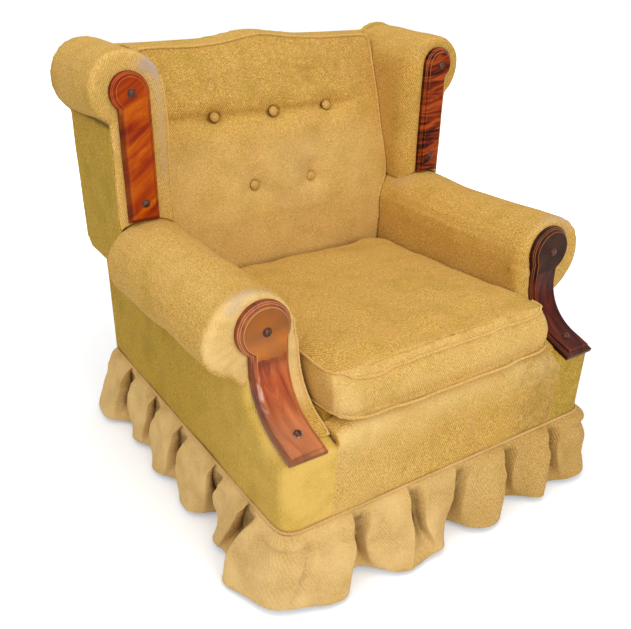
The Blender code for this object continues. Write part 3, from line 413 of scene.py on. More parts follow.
def overlay(
    tree: Tree,
    colour: Any,
    pattern: Any,
    reach: Pair,
    most: float,
    other: Any,
) -> Socket:
    """Lays another colour over the one below, wherever a pattern is strong.

    Args:
        tree: the node tree.
        colour: socket with the colour below.
        pattern: socket with the pattern.
        reach: where in the pattern the other colour starts, and where it is at its most.
        most: its greatest share.
        other: the other colour, as a hex code or a socket.

    Returns:
        The mixed colour.
    """
    share = add_node(
        tree, "ShaderNodeMapRange",
        {"Value": pattern, "From Min": reach[0], "From Max": reach[1], "To Max": most},
    )
    node = add_node(tree, "ShaderNodeMix", {0: share.outputs["Result"]}, data_type="RGBA")
    below, above = [socket for socket in node.inputs if socket.type == "RGBA"]
    tree.links.new(colour, below)
    if isinstance(other, str):
        above.default_value = linear(other)
    else:
        tree.links.new(other, above)
    return [socket for socket in node.outputs if socket.type == "RGBA"][0]


def worn_share(tree: Tree, amount: Any, ragged: Any, reach: Pair) -> Any:
    """Breaks the soft edge of painted wear, dirt and painted shade into ragged patches.

    Args:
        tree: the node tree.
        amount: socket with the painted amount.
        ragged: socket with the pattern that breaks it.
        reach: sums of the two at which the wear starts and is full.

    Returns:
        Socket with the wear's share.
    """
    edge = add_node(tree, "ShaderNodeMath", {0: ragged, 1: 0.75, 2: amount}, operation="MULTIPLY_ADD")
    kept = add_node(
        tree, "ShaderNodeMapRange",
        {"Value": edge.outputs["Value"], "From Min": reach[0], "From Max": reach[1]},
    )
    share = add_node(
        tree, "ShaderNodeMath", {0: kept.outputs["Result"], 1: amount}, operation="MULTIPLY",
        use_clamp=True,
    )
    return share.outputs["Value"]


@dataclass(frozen=True)
class WoolTweed:
    """Mustard wool tweed, 2/2 twill of thick flecked yarn, faded and rubbed.

    Wool twill gives the eye a fine slanting rib, a salt and pepper of dark flecks and a dry, matt
    surface. Light and dust fade it unevenly, and rubbed places lose the mustard and go lilac grey.
    Painted light makes lit faces paler, and painted shade darkens creases, folds and the cloth
    under rolls.
    """

    name: str = "wool_tweed"
    furrow: str = "#b58836"
    ground: str = "#c99a45"
    rib: str = "#d8af5c"
    fleck: str = "#7c5824"
    pale_fleck: str = "#f0d390"
    olive: str = "#a5842a"
    # pale colour for faded cloth, and for painted light where the cloth is lit
    bleached_and_lit: str = "#ecc988"
    rosy: str = "#d2975f"
    rubbed: str = "#b7a08c"
    # dark colour for dirt, and for painted shade in creases, folds and under rolls
    dirt_and_shade: str = "#4d3b1e"
    rib_pitch_mm: float = 4.0  # real ribs lie 2 mm apart; drawn coarser so that they show
    fleck_mm: float = 2.7  # knops of 1 mm in the yarn, drawn coarser too
    mottle_mm: float = 70.0
    twill: Pair = (0.18, 0.55)

    def make(self) -> Material:
        """Builds the material.

        Returns:
            The finished material.
        """
        material, tree, shader = start_material(self.name)
        weave = add_node(tree, "ShaderNodeUVMap", uv_map="weave").outputs["UV"]
        place = add_node(tree, "ShaderNodeTexCoord").outputs["Object"]
        # size in millimetres and finer layers of each pattern
        lumps_mm = {
            "fibre": (self.fleck_mm * 1.3, 3.0), "specks": (self.fleck_mm, 1.0),
            "strength": (26.0, 2.0), "cloud": (self.mottle_mm, 4.0),
            "blush": (self.mottle_mm * 0.45, 4.0), "patch": (self.mottle_mm * 0.8, 4.0),
            "tatter": (17.0, 4.0), "fray": (4.5, 2.0),
        }
        noise = {
            name: add_node(
                tree, "ShaderNodeTexNoise", {"Vector": place, "Scale": 1000 / across, "Detail": detail},
            ).outputs["Fac"]
            for name, (across, detail) in lumps_mm.items()
        }
        steep = add_node(tree, "ShaderNodeMapping", {"Vector": weave, "Scale": (1.28, 0.62, 1.0)})
        bands = {
            "Vector": steep.outputs["Vector"], "Scale": 0.444 / (self.rib_pitch_mm / 1000),
            "Distortion": 3.2, "Detail": 3.0, "Detail Scale": 2.2,
        }
        slant = add_node(
            tree, "ShaderNodeTexWave", bands, wave_type="BANDS", bands_direction="DIAGONAL",
        ).outputs["Fac"]
        strength = add_node(
            tree, "ShaderNodeMapRange",
            {
                "Value": noise["strength"], "From Min": 0.32, "From Max": 0.68,
                "To Min": self.twill[0], "To Max": self.twill[1],
            },
        ).outputs["Result"]
        grain = add_node(
            tree, "ShaderNodeMix", {"Factor": strength, "A": noise["fibre"], "B": slant},
            data_type="FLOAT",
        ).outputs["Result"]
        colour = add_node(
            tree, "ShaderNodeValToRGB", {"Fac": grain},
            stops=((0.34, self.furrow), (0.50, self.ground), (0.64, self.rib)),
        ).outputs["Color"]
        colour = overlay(tree, colour, noise["specks"], (0.58, 0.72), 0.66, self.fleck)
        colour = overlay(tree, colour, noise["specks"], (0.42, 0.30), 0.52, self.pale_fleck)
        colour = overlay(tree, colour, noise["cloud"], (0.50, 0.68), 0.34, self.olive)
        colour = overlay(tree, colour, noise["blush"], (0.54, 0.70), 0.30, self.rosy)
        # paler where painted: sun fade and painted light
        faded_and_lit = add_node(tree, "ShaderNodeAttribute", attribute_name="faded_and_lit").outputs["Fac"]
        uneven = add_node(
            tree, "ShaderNodeMath", {0: noise["patch"], 1: 1.9}, operation="MULTIPLY",
        ).outputs["Value"]
        uneven = add_node(
            tree, "ShaderNodeMath", {0: uneven, 1: faded_and_lit}, operation="MULTIPLY", use_clamp=True,
        ).outputs["Value"]
        colour = overlay(tree, colour, uneven, (0.0, 1.0), 0.72, self.bleached_and_lit)
        ragged = add_node(
            tree, "ShaderNodeMath", {0: noise["tatter"], 1: noise["fray"]}, operation="ADD",
        ).outputs["Value"]
        # rubbed wear, then dirt with painted shade
        for name, code in (("rubbed", self.rubbed), ("dirt_and_shade", self.dirt_and_shade)):
            amount = add_node(tree, "ShaderNodeAttribute", attribute_name=name).outputs["Fac"]
            kept = worn_share(tree, amount, ragged, (0.88, 1.45))
            colour = overlay(tree, colour, kept, (0.0, 1.0), 1.0, code)
        relief = add_node(
            tree, "ShaderNodeBump", {"Height": grain, "Strength": 0.5, "Distance": 0.0012},
        ).outputs["Normal"]
        feed(tree, shader, {
            "Base Color": colour, "Normal": relief, "Roughness": 0.95,
            "Specular IOR Level": 0.08, "Sheen Weight": 0.03, "Sheen Roughness": 0.5,
        })
        return material


@dataclass(frozen=True)
class VarnishedMahogany:
    """Mahogany, moulded by a router, stained and varnished, rubbed dull where hands rest.

    The varnish gives sharp highlights over a streaked red brown grain. Rubbed wood is matt and
    grey brown. The crests of the mouldings show pale, as rubbed edges with painted highlights,
    and painted shade darkens the hollows of the mouldings.
    """

    name: str
    deep: str
    mid: str
    bright: str
    figure_turn: float
    figure_scale: float
    # pale colour of the moulding crests: painted highlights and rubbed edges
    crest: str
    gloss: float
    bare: str = "#c8742a"
    bare_dark: str = "#b06c36"

    def make(self) -> Material:
        """Builds the material.

        Returns:
            The finished material.
        """
        material, tree, shader = start_material(self.name)
        grain = add_node(tree, "ShaderNodeUVMap", uv_map="grain").outputs["UV"]
        turned = add_node(
            tree, "ShaderNodeMapping",
            {"Vector": grain, "Rotation": (0.0, 0.0, self.figure_turn), "Scale": (1.0, 6.0, 1.0)},
            vector_type="TEXTURE",
        )
        warp = add_node(
            tree, "ShaderNodeTexNoise",
            {
                "Vector": turned.outputs["Vector"], "Scale": self.figure_scale,
                "Detail": 4.0, "Distortion": 1.2,
            },
        )
        pores = add_node(
            tree, "ShaderNodeTexNoise",
            {"Vector": turned.outputs["Vector"], "Scale": 900.0, "Detail": 2.0},
        )
        colour = add_node(
            tree, "ShaderNodeValToRGB", {"Fac": warp.outputs["Fac"]},
            stops=((0.38, self.deep), (0.50, self.mid), (0.64, self.bright)),
        ).outputs["Color"]
        colour = overlay(tree, colour, pores.outputs["Fac"], (0.52, 0.70), 0.45, self.deep)
        bare = add_node(tree, "ShaderNodeAttribute", attribute_name="bare").outputs["Fac"]
        ragged = add_node(tree, "ShaderNodeTexNoise", {"Vector": grain, "Scale": 120.0, "Detail": 4.0})
        edge = add_node(
            tree, "ShaderNodeMath", {0: ragged.outputs["Fac"], 1: 0.5, 2: bare},
            operation="MULTIPLY_ADD",
        )
        worn = add_node(
            tree, "ShaderNodeMapRange",
            {"Value": edge.outputs["Value"], "From Min": 0.68, "From Max": 0.74},
        ).outputs["Result"]
        stain = add_node(tree, "ShaderNodeTexNoise", {"Vector": grain, "Scale": 18.0, "Detail": 3.0})
        dull = add_node(
            tree, "ShaderNodeValToRGB", {"Fac": stain.outputs["Fac"]},
            stops=((0.38, self.bare_dark), (0.62, self.bare)),
        ).outputs["Color"]
        colour = overlay(tree, colour, worn, (0.0, 1.0), 1.0, dull)
        # painted highlights on the crests, pale scratches, then grime with painted shade in the hollows
        for name, code in (("crest", self.crest), ("scratch", "#e6cfc4"), ("grime_and_shade", "#2a140c")):
            painted = add_node(tree, "ShaderNodeAttribute", attribute_name=name).outputs["Fac"]
            colour = overlay(tree, colour, painted, (0.0, 1.0), 1.0, code)
        rough = add_node(
            tree, "ShaderNodeMapRange", {"Value": worn, "To Min": 0.30, "To Max": 0.62},
        ).outputs["Result"]
        relief = add_node(
            tree, "ShaderNodeBump",
            {"Height": ragged.outputs["Fac"], "Strength": 0.15, "Distance": 0.0006},
        ).outputs["Normal"]
        feed(tree, shader, {
            "Base Color": colour, "Normal": relief, "Roughness": rough,
            "Specular IOR Level": self.gloss, "Coat Weight": self.gloss * 0.4,
            "Coat Roughness": 0.12,
        })
        return material


@dataclass(frozen=True)
class PlainFinish:
    """Finishes of the parts inside the chair: sawn wood, steel, jute and dust cloth."""

    name: str
    dark: str
    light: str
    roughness: float
    metallic: float
    grain_mm: float
    stretch: Triple = (1.0, 1.0, 1.0)

    def make(self) -> Material:
        """Builds the material.

        Returns:
            The finished material.
        """
        material, tree, shader = start_material(self.name)
        place = add_node(tree, "ShaderNodeTexCoord").outputs["Object"]
        laid = add_node(tree, "ShaderNodeMapping", {"Vector": place, "Scale": self.stretch})
        noise = add_node(
            tree, "ShaderNodeTexNoise",
            {"Vector": laid.outputs["Vector"], "Scale": 1000 / self.grain_mm, "Detail": 3.0},
        )
        colour = add_node(
            tree, "ShaderNodeValToRGB", {"Fac": noise.outputs["Fac"]},
            stops=((0.35, self.dark), (0.65, self.light)),
        ).outputs["Color"]
        relief = add_node(
            tree, "ShaderNodeBump",
            {"Height": noise.outputs["Fac"], "Strength": 0.3, "Distance": 0.0005},
        ).outputs["Normal"]
        feed(tree, shader, {
            "Base Color": colour, "Normal": relief, "Roughness": self.roughness,
            "Metallic": self.metallic,
        })
        return material


TWEED = WoolTweed()
# a deeper, darker copy of the tweed for the outside panels and the deck: cloth that light has faded
# less, and painted shade on the chair's outside
SHADED_SIDE_TWEED = WoolTweed(
    name="shaded_side_wool_tweed", furrow="#9e7a20", ground="#b58f2e", rib="#c6a33e", pale_fleck="#dcbd68",
    olive="#8f761f", rosy="#b78b46", bleached_and_lit="#eac068",
)
# the skirt's dark colour mostly paints the shade in its pleats
SKIRT_TWEED = WoolTweed(
    name="skirt_wool_tweed", furrow="#a07630", ground="#b58a42", rib="#c7a05a", fleck="#7c5c30",
    pale_fleck="#e0c288", olive="#9c7a2e", rosy="#c4925e", bleached_and_lit="#ebc786", rubbed="#c9a985",
    dirt_and_shade="#5a3f14", twill=(0.08, 0.36),
)
WING_WOOD = VarnishedMahogany(
    "varnished_flame_mahogany", deep="#84280a", mid="#a84008", bright="#c2600f",
    figure_turn=-0.95, figure_scale=30.0, crest="#b8683a", gloss=0.05,
)
# darker copy of the flame mahogany for the right-hand wing: painted shade
SHADED_WING_WOOD = VarnishedMahogany(
    "shaded_flame_mahogany", deep="#260601", mid="#7a2908", bright="#b04c18",
    figure_turn=1.40, figure_scale=60.0, crest="#c27a4c", gloss=0.05,
)
ARM_WOOD = VarnishedMahogany(
    "varnished_mahogany", deep="#8e3a18", mid="#b2562a", bright="#c46c3a",
    figure_turn=0.1, figure_scale=40.0, crest="#d39c66", gloss=0.16,
)
# darker copy of the arm's mahogany, its bare wood too, for the right-hand arm: painted shade
SHADED_ARM_WOOD = VarnishedMahogany(
    "shaded_mahogany", deep="#34100a", mid="#561c0e", bright="#702c16",
    figure_turn=0.1, figure_scale=40.0, crest="#b07443", gloss=0.08, bare="#4a2c1c",
    bare_dark="#301c14",
)
SCREW = PlainFinish(
    "browned_steel_screw", "#3a1d12", "#6b4030",
    roughness=0.35, metallic=0.6, grain_mm=3.0,
)
DARK_RIM = PlainFinish(
    "browned_steel_washer", "#4a3026", "#6e4c3c",
    roughness=0.45, metallic=0.5, grain_mm=3.0,
)
SCREW_RIM = PlainFinish(
    "rubbed_steel_washer", "#6e5f56", "#b3a496",
    roughness=0.4, metallic=0.7, grain_mm=3.0,
)
SAWN_BEECH = PlainFinish(
    "sawn_beech", "#9a7a52", "#c9a878",
    roughness=0.8, metallic=0.0, grain_mm=6.0, stretch=(1.0, 0.15, 1.0),
)
DRAWN_STEEL = PlainFinish(
    "drawn_steel_wire", "#5c5d60", "#85868a",
    roughness=0.4, metallic=1.0, grain_mm=4.0,
)
JUTE = PlainFinish(
    "jute_webbing", "#7d6240", "#a88a5c",
    roughness=0.95, metallic=0.0, grain_mm=1.5,
)
CAMBRIC = PlainFinish(
    "black_cambric", "#161616", "#2a2a2a",
    roughness=0.95, metallic=0.0, grain_mm=1.2,
)


# Padded pieces


@dataclass
class Padding:
    """A stuffed, cloth-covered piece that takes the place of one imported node."""

    node: str
    voxel: float = 0.004
    fill: float = 0.7
    rounding: int = 4
    # how much paler the cloth is drawn where it faces the key light: sun fade and painted light
    fade_and_light: float = 0.40
    piece: Optional[Piece] = field(default=None, init=False)

    def rise(self, place: Array, normal: Array) -> Array:
        """How far each point moves out along its normal, in metres."""
        return 0.0012 * lumps(place, 0.11, len(self.node))

    def shift(self, place: Array, normal: Array) -> Array:
        """How far each point moves in X, Y and Z, in metres."""
        return np.zeros_like(place)

    def chart(self, place: Array, normal: Array) -> Array:
        """U and V of the weave at corner places."""
        return flat_chart(place, normal)

    def rubbed(self, place: Array, normal: Array) -> Array:
        """How far the cloth has lost its colour, from 0 to 1."""
        return np.zeros(len(place))

    def dirt_and_shade(self, place: Array, normal: Array) -> Array:
        """How much darker the cloth is drawn, from 0 to 1: dirt, and painted shade."""
        return np.zeros(len(place))

    def faded_and_lit(self, place: Array, normal: Array) -> Array:
        """How much paler the cloth is drawn, from 0 to 1: sun fade and painted light, most on what
        faces the key light.
        """
        return self.fade_and_light * step(normal @ np.array((-0.25, -0.85, 0.46)), 0.35, 1.0)

    def inflate(self) -> None:
        """Work on the smoothed mesh before it is shaped."""

    def build(self, material: Material, slot: str = "tweed") -> Piece:
        """Makes the piece.

        Args:
            material: the cloth.
            slot: not used.

        Returns:
            The finished piece.
        """
        self.piece = cad_copy(self.node, self.node + "_cloth")
        apply_modifier(self.piece, "REMESH", mode="VOXEL", voxel_size=self.voxel)
        apply_modifier(self.piece, "SMOOTH", factor=0.5, iterations=self.rounding)
        self.inflate()
        place, normal = places(self.piece), normals(self.piece)
        moved = place + normal * self.rise(place, normal)[:, None] + self.shift(place, normal)
        move_to(self.piece, moved)
        lay_weave(self.piece, self.chart)
        for name, share in (("rubbed", self.rubbed), ("dirt_and_shade", self.dirt_and_shade), ("faded_and_lit", self.faded_and_lit)):
            paint(self.piece, name, share(place, normal))
        for polygon in self.piece.data.polygons:
            polygon.use_smooth = True
        dress(self.piece, material, [self.node])
        return self.piece


def rounded_edge(x: Array, y: Array, edge: Pair, radius: float) -> tuple[Array, Array]:
    """Rounds an upright edge that looks inwards and forwards.

    Args:
        x: distances from the chair's middle.
        y: places along Y.
        edge: the sharp edge's x and y.
        radius: the rounding's radius.

    Returns:
        Moves in x and in y.
    """
    dx, dy = x - edge[0] - radius, y - edge[1] - radius
    away = np.hypot(dx, dy)
    inside = (dx < 0) & (dy < 0) & (away > radius)
    scale = np.where(inside, radius / np.maximum(away, 1e-9) - 1, 0.0)
    return dx * scale, dy * scale


# X and Z of the buttons on the back
BUTTON_PLACES = ((-0.154, 0.752), (0.0, 0.752), (0.154, 0.752), (-0.080, 0.595), (0.080, 0.595))


@dataclass
class RolledPad(Padding):
    """Padding rolled over a core that lies along Y, as on the arms and the wings."""

    side: int = -1
    roll_x: float = 0.0
    roll_z: float = 0.0
    roll_radius: float = 0.1

    def parts(self, place: Array) -> tuple[Array, Array, Array]:
        """Distance from the chair's middle, Y and Z of each point."""
        return place[:, 0] * self.side, place[:, 1], place[:, 2]

    def chart(self, place: Array, normal: Array) -> Array:
        """The weave wraps round the roll, and lies flat below it and on its ends.

        Args:
            place: N by 3 corner places.
            normal: their faces' normals.

        Returns:
            U and V of each corner, in metres.
        """
        x, y, z = self.parts(place)
        angle = np.arctan2(z - self.roll_z, x - self.roll_x)
        angle = np.where(angle < -2.6, angle + 2 * math.pi, angle)
        below = (z < self.roll_z) & (x < self.roll_x)
        v = np.where(below, z - self.roll_z, (math.pi - angle) * self.roll_radius)
        ends = np.abs(normal[:, 1]) > 0.75
        return np.stack([np.where(ends, x, y), np.where(ends, z, v)], axis=1)


@dataclass
class ArmPad(RolledPad):
    """The rolled arm with the inside arm below it."""

    roll_x: float = 0.380
    roll_z: float = 0.492
    roll_radius: float = 0.095
    disc: Pair = (0.362, 0.517)  # X and Z of the facing's disc
    front_y: float = -0.281
    sag: float = 0.003

    def from_disc(self, place: Array) -> tuple[Array, Array]:
        """Direction and distance of each point from the disc's centre, seen from the front.

        Args:
            place: N by 3 places.

        Returns:
            Angles in radians and distances in metres.
        """
        x, _, z = self.parts(place)
        dx, dz = x - self.disc[0], z - self.disc[1]
        return np.arctan2(dz, dx), np.hypot(dz, dx)

    def rise(self, place: Array, normal: Array) -> Array:
        """Lumps, a hollow where elbows rested, and gathers round the front facing.

        Args:
            place: N by 3 places.
            normal: their normals.

        Returns:
            How far each point moves out along its normal, in metres.
        """
        x, y, z = self.parts(place)
        around, away = self.from_disc(place)
        near_front = step(y, self.front_y + 0.055, self.front_y)
        low = step(z, 0.47, 0.43) * step(x, 0.39, 0.43)
        out = 0.0014 * lumps(place, 0.13, 3 + self.side)
        out -= self.sag * bump(y, -0.03, 0.15) * step(normal[:, 2], 0.2, 0.9)
        out += 0.0010 * np.sin(around * 23 + self.side) * bump(away, 0.082, 0.022) * near_front
        out += 0.0022 * np.sin(y * 2 * math.pi / 0.021) * near_front * low
        return out

    def shift(self, place: Array, normal: Array) -> Array:
        """The front follows the facing's curve, and the roll is drawn in below its outer flank.

        Args:
            place: N by 3 places.
            normal: not used.

        Returns:
            How far each point moves in X, Y and Z, in metres.
        """
        out = np.zeros_like(place)
        x, y, z = self.parts(place)
        if self.side > 0:
            moves = rounded_edge(x, y, (0.283, self.front_y), 0.030)
            keep = step(z, 0.44, 0.47)
            out[:, 0], out[:, 1] = moves[0] * keep, moves[1] * keep
        else:
            squash = 0.22 * step(y, 0.08, -0.15) * step(x, 0.395, 0.425)
            out[:, 2] = squash * np.maximum(0.0, self.roll_z - z)
        # the narrow band of cloth between the facing and the seat runs down the arm's curve
        band = step(x, 0.330, 0.318) * step(y, -0.236, -0.246) * step(z, 0.490, 0.465)
        fall = -0.0735 * np.clip((0.430 - z) / 0.0285, 0.0, 1.0) * band
        out[:, 0] -= 0.0015 * self.side * band * step(z, 0.45, 0.43)
        out[:, 1] += (ARM_CURVE.front_line(z + fall, 0.0115) - self.front_y) * band
        out[:, 2] += fall
        return out

    def rubbed(self, place: Array, normal: Array) -> Array:
        """The crown above the facing has lost its nap.

        Args:
            place: N by 3 places.
            normal: their normals.

        Returns:
            A share from 0 to 1 for each point.
        """
        x, y, z = self.parts(place)
        _, away = self.from_disc(place)
        crown = bump(away, 0.073, 0.015) * step(z, 0.535, 0.570)
        crown *= step(y, self.front_y + 0.050, self.front_y + 0.010)
        rear = bump(y, 0.185, 0.06) * bump(x, 0.330, 0.035) * step(normal[:, 2], 0.3, 0.8)
        return 0.62 * crown + (0.5 * rear if self.side > 0 else 0.0)

    def dirt_and_shade(self, place: Array, normal: Array) -> Array:
        """The top is drawn darker, more on the right-hand arm, and painted shade runs along the roll's
        turned-in underside.

        Args:
            place: N by 3 places.
            normal: their normals.

        Returns:
            A share from 0 to 1 for each point.
        """
        x, y, z = self.parts(place)
        top = step(normal[:, 2], 0.5, 1.0) * (0.02 if self.side < 0 else 0.08)
        below = np.degrees(np.arctan2(self.roll_z - z, x - self.roll_x))
        # painted shade: a dark line on the roll's underside, where it turns in towards the panel
        turned_in = step(below, 50.0, 60.0) * (x > self.roll_x) * step(y, 0.30, 0.25)
        return top + turned_in * step(y, -0.235, -0.185)


@dataclass
class WingPad(RolledPad):
    """The wing's inside, its roll and its padded front."""

    roll_x: float = 0.3975
    roll_z: float = 0.843
    roll_radius: float = 0.081

    def rise(self, place: Array, normal: Array) -> Array:
        """Uneven stuffing."""
        return 0.0013 * lumps(place, 0.12, 9 + self.side)

    def shift(self, place: Array, normal: Array) -> Array:
        """The inner front edge is soft, and the two rolls have settled differently.

        Args:
            place: N by 3 places.
            normal: not used.

        Returns:
            How far each point moves in X, Y and Z, in metres.
        """
        out = np.zeros_like(place)
        x, y, z = self.parts(place)
        moves = rounded_edge(x, y, (0.317, 0.168), 0.042 if self.side > 0 else 0.010)
        out[:, 0], out[:, 1] = moves[0] * self.side, moves[1]
        near = step(y, 0.38, 0.18)
        if self.side > 0:
            out[:, 2] -= (0.006 + 0.007 * near) * step(z, 0.85, 0.92)
            out[:, 0] -= 0.004 * near * step(x, 0.42, 0.47)
        else:
            lifted = (0.08 + 0.12 * near) * np.maximum(0.0, self.roll_z - z)
            out[:, 2] += lifted * step(x, 0.40, 0.42) * step(z, 0.72, 0.76)
        return out

    def rubbed(self, place: Array, normal: Array) -> Array:
        """Heads and hands have rubbed the inner front edge grey.

        Args:
            place: N by 3 places.
            normal: not used.

        Returns:
            A share from 0 to 1 for each point.
        """
        x, y, z = self.parts(place)
        edge = bump(x, 0.335, 0.012) * step(y, 0.200, 0.160) * step(z, 0.60, 0.70)
        crown = bump(x, 0.350, 0.030) * bump(z, 0.895, 0.022) * step(y, 0.260, 0.175)
        return (0.55 * edge + 0.9 * crown) * (1.0 if self.side < 0 else 0.3)


@dataclass
class BackPad(Padding):
    """The buttoned inside back."""

    def rise(self, place: Array, normal: Array) -> Array:
        """Deep dimples, the crease through the upper buttons and a plumper head rest.

        Args:
            place: N by 3 places.
            normal: their normals.

        Returns:
            How far each point moves out along its normal, in metres.
        """
        x, _, z = place.T
        front = step(-normal[:, 1], 0.2, 0.7)
        out = 0.0020 * lumps(place, 0.16, 21)
        for button_x, button_z in BUTTON_PLACES:
            away = np.hypot(x - button_x, z - button_z)
            out -= 0.0045 * bump(away, 0.0, 0.017) * front
            spoke = np.arctan2(z - button_z, x - button_x)
            pleats = np.maximum(0.0, np.sin(spoke * 3 + button_x * 40))
            out -= 0.0016 * pleats * bump(away, 0.030, 0.016) * front
        height, reach = self.crease(x)
        out -= 0.0095 * bump(z, height, 0.0085) * reach * front
        out += 0.0065 * bump(z, height + 0.038, 0.026) * front * step(np.abs(x), 0.31, 0.22)
        out += 0.0035 * bump(z, height - 0.040, 0.028) * front * step(np.abs(x), 0.31, 0.22)
        fan = np.sin(x * 2 * math.pi / 0.030 + 1.2 * np.sin(x * 31))
        out += 0.0010 * fan * bump(z, height + 0.016, 0.010) * reach * front
        return out

    def crease(self, x: Array) -> tuple[Array, Array]:
        """Height of the crease that hangs between the upper buttons, and where it runs."""
        height = 0.750 + 0.006 * np.abs(np.sin(x * math.pi / 0.154))
        return height, np.where(x < 0, step(x, -0.310, -0.275), step(x, 0.250, 0.190))

    def faded_and_lit(self, place: Array, normal: Array) -> Array:
        """Painted light: paler below the upper buttons, where the back is more lit."""
        return 0.36 * step(place[:, 2], 0.76, 0.66) * step(-normal[:, 1], 0.2, 0.7)

    def rubbed(self, place: Array, normal: Array) -> Array:
        """The middle of the back is slightly rubbed."""
        return 0.30 * bump(place[:, 0], 0.03, 0.14) * bump(place[:, 2], 0.62, 0.14)

    def dirt_and_shade(self, place: Array, normal: Array) -> Array:
        """Painted shade in the crease, round the buttons and over the head rest.

        Args:
            place: N by 3 places.
            normal: their normals.

        Returns:
            A share from 0 to 1 for each point.
        """
        x, _, z = place.T
        height, reach = self.crease(x)
        out = 0.16 * bump(z, height - 0.001, 0.0045) * reach
        for button_x, button_z in BUTTON_PLACES:
            out += 0.08 * bump(np.hypot(x - button_x, z - button_z), 0.0125, 0.004)
        out += 0.33 * step(z, 0.765, 0.810)
        return out * step(-normal[:, 1], 0.0, 0.3)


@dataclass
class SeatCushion(Padding):
    """The loose boxed seat cushion, flattened and slumped to its front."""

    half_width: float = 0.2765
    front_y: float = -0.426
    rear_y: float = 0.196
    corner: float = 0.060
    swell: float = 0.003

    def inflate(self) -> None:
        """Blows the cover up with a cloth simulation, as its stuffing fills it."""
        swollen = pressed(self.piece, pressure=4.0, most=0.016)
        place, normal = places(self.piece), normals(self.piece)
        free = np.maximum(step(normal[:, 2], 0.2, 0.8) * 0.55, step(-normal[:, 1], 0.2, 0.8))
        move_to(self.piece, place + swollen * free[:, None])

    def rise(self, place: Array, normal: Array) -> Array:
        """Lumps, seams that pull in, a fuller front boxing and the sat-on hollow.

        Args:
            place: N by 3 places.
            normal: their normals.

        Returns:
            How far each point moves out along its normal, in metres.
        """
        x, y, z = place.T
        front = step(-normal[:, 1], 0.3, 0.8)
        up = step(normal[:, 2], 0.5, 0.9)
        out = 0.0020 * lumps(place, 0.15, 31)
        out += self.swell * front * bump(z, 0.402, 0.026)
        out -= 0.004 * up * bump(x, -0.04, 0.15) * bump(y, -0.06, 0.16)
        out -= 0.0030 * up * bump(y, -0.345 + 0.012 * np.sin(x * 11), 0.022)
        return out

    def shift(self, place: Array, normal: Array) -> Array:
        """The front top seam stands up, a little more on the viewer's right, and the corners slump.

        Args:
            place: N by 3 places.
            normal: not used.

        Returns:
            How far each point moves in X, Y and Z, in metres.
        """
        x, y, z = place.T
        out = np.zeros_like(place)
        lift = step(y, -0.365, -0.420) * step(z, 0.405, 0.440)
        out[:, 2] = lift * (0.008 + 0.010 * step(x, -0.10, 0.25))
        out[:, 1] = -lift * 0.003
        # where each point lies from the centre of the nearer front corner's curve
        past_x = np.sign(x) * np.maximum(0.0, np.abs(x) - self.half_width + self.corner)
        past_y = np.minimum(0.0, y - (self.front_y + self.corner))
        away = np.hypot(past_x, past_y)
        diagonal = 4 * (past_x * past_y) ** 2 / np.maximum(away, 1e-6) ** 4
        slump = diagonal * step(away, 0.025, 0.055) * (0.05 + 0.17 * step(z, 0.44, 0.39))
        out[:, 0] += past_x * slump
        out[:, 1] += past_y * slump
        return out

    def seam(
        self, z_front: float, z_rear: float, inset: float, rise: float, end: float,
    ) -> list[Triple]:
        """The line of a seam round the sides and the front.

        Args:
            z_front: its height at the front.
            z_rear: its height at the rear.
            inset: how far it lies in from the cushion's outline.
            rise: how much higher it lies on the viewer's right.
            end: how far back it shows on the viewer's right, as Y.

        Returns:
            Points from the middle of the left side, round the front, to the middle of the right.
        """
        half, front, radius = self.half_width - inset, self.front_y + inset, self.corner
        plan = [(-half, y) for y in np.linspace(0.05, front + radius, 26)]
        for start in (180, 270):
            centre_x = (half - radius) * (-1 if start == 180 else 1)
            for k in range(1, 12):
                angle = math.radians(start + 90 * k / 12)
                x = centre_x + radius * math.cos(angle)
                plan.append((x, front + radius + radius * math.sin(angle)))
            if start == 180:
                plan += [(x, front) for x in np.linspace(radius - half, half - radius, 50)]
        plan += [(half, y) for y in np.linspace(front + radius, end, 26)]
        length = self.rear_y - self.front_y
        line = []
        for x, y in plan:
            across = rise * (x + half) / (2 * half)
            back = (z_rear - z_front) * (y - self.front_y) / length
            line.append((x, y, z_front + across + back))
        return line

    def dirt_and_shade(self, place: Array, normal: Array) -> Array:
        """The sat-on middle is darker."""
        return 0.06 * step(normal[:, 2], 0.5, 0.9)

    def faded_and_lit(self, place: Array, normal: Array) -> Array:
        """Painted light: the front boxing is drawn paler, and most of all the side of the left front
        corner, which the arm would shade.

        Args:
            place: N by 3 places.
            normal: their normals.

        Returns:
            A share from 0 to 1 for each point.
        """
        x, y, _ = place.T
        corner = step(-x, 0.215, 0.262) * step(-y, 0.24, 0.36) * step(normal[:, 2], 0.7, 0.3)
        return 0.30 * step(-normal[:, 1], 0.2, 0.8) + 0.36 * corner


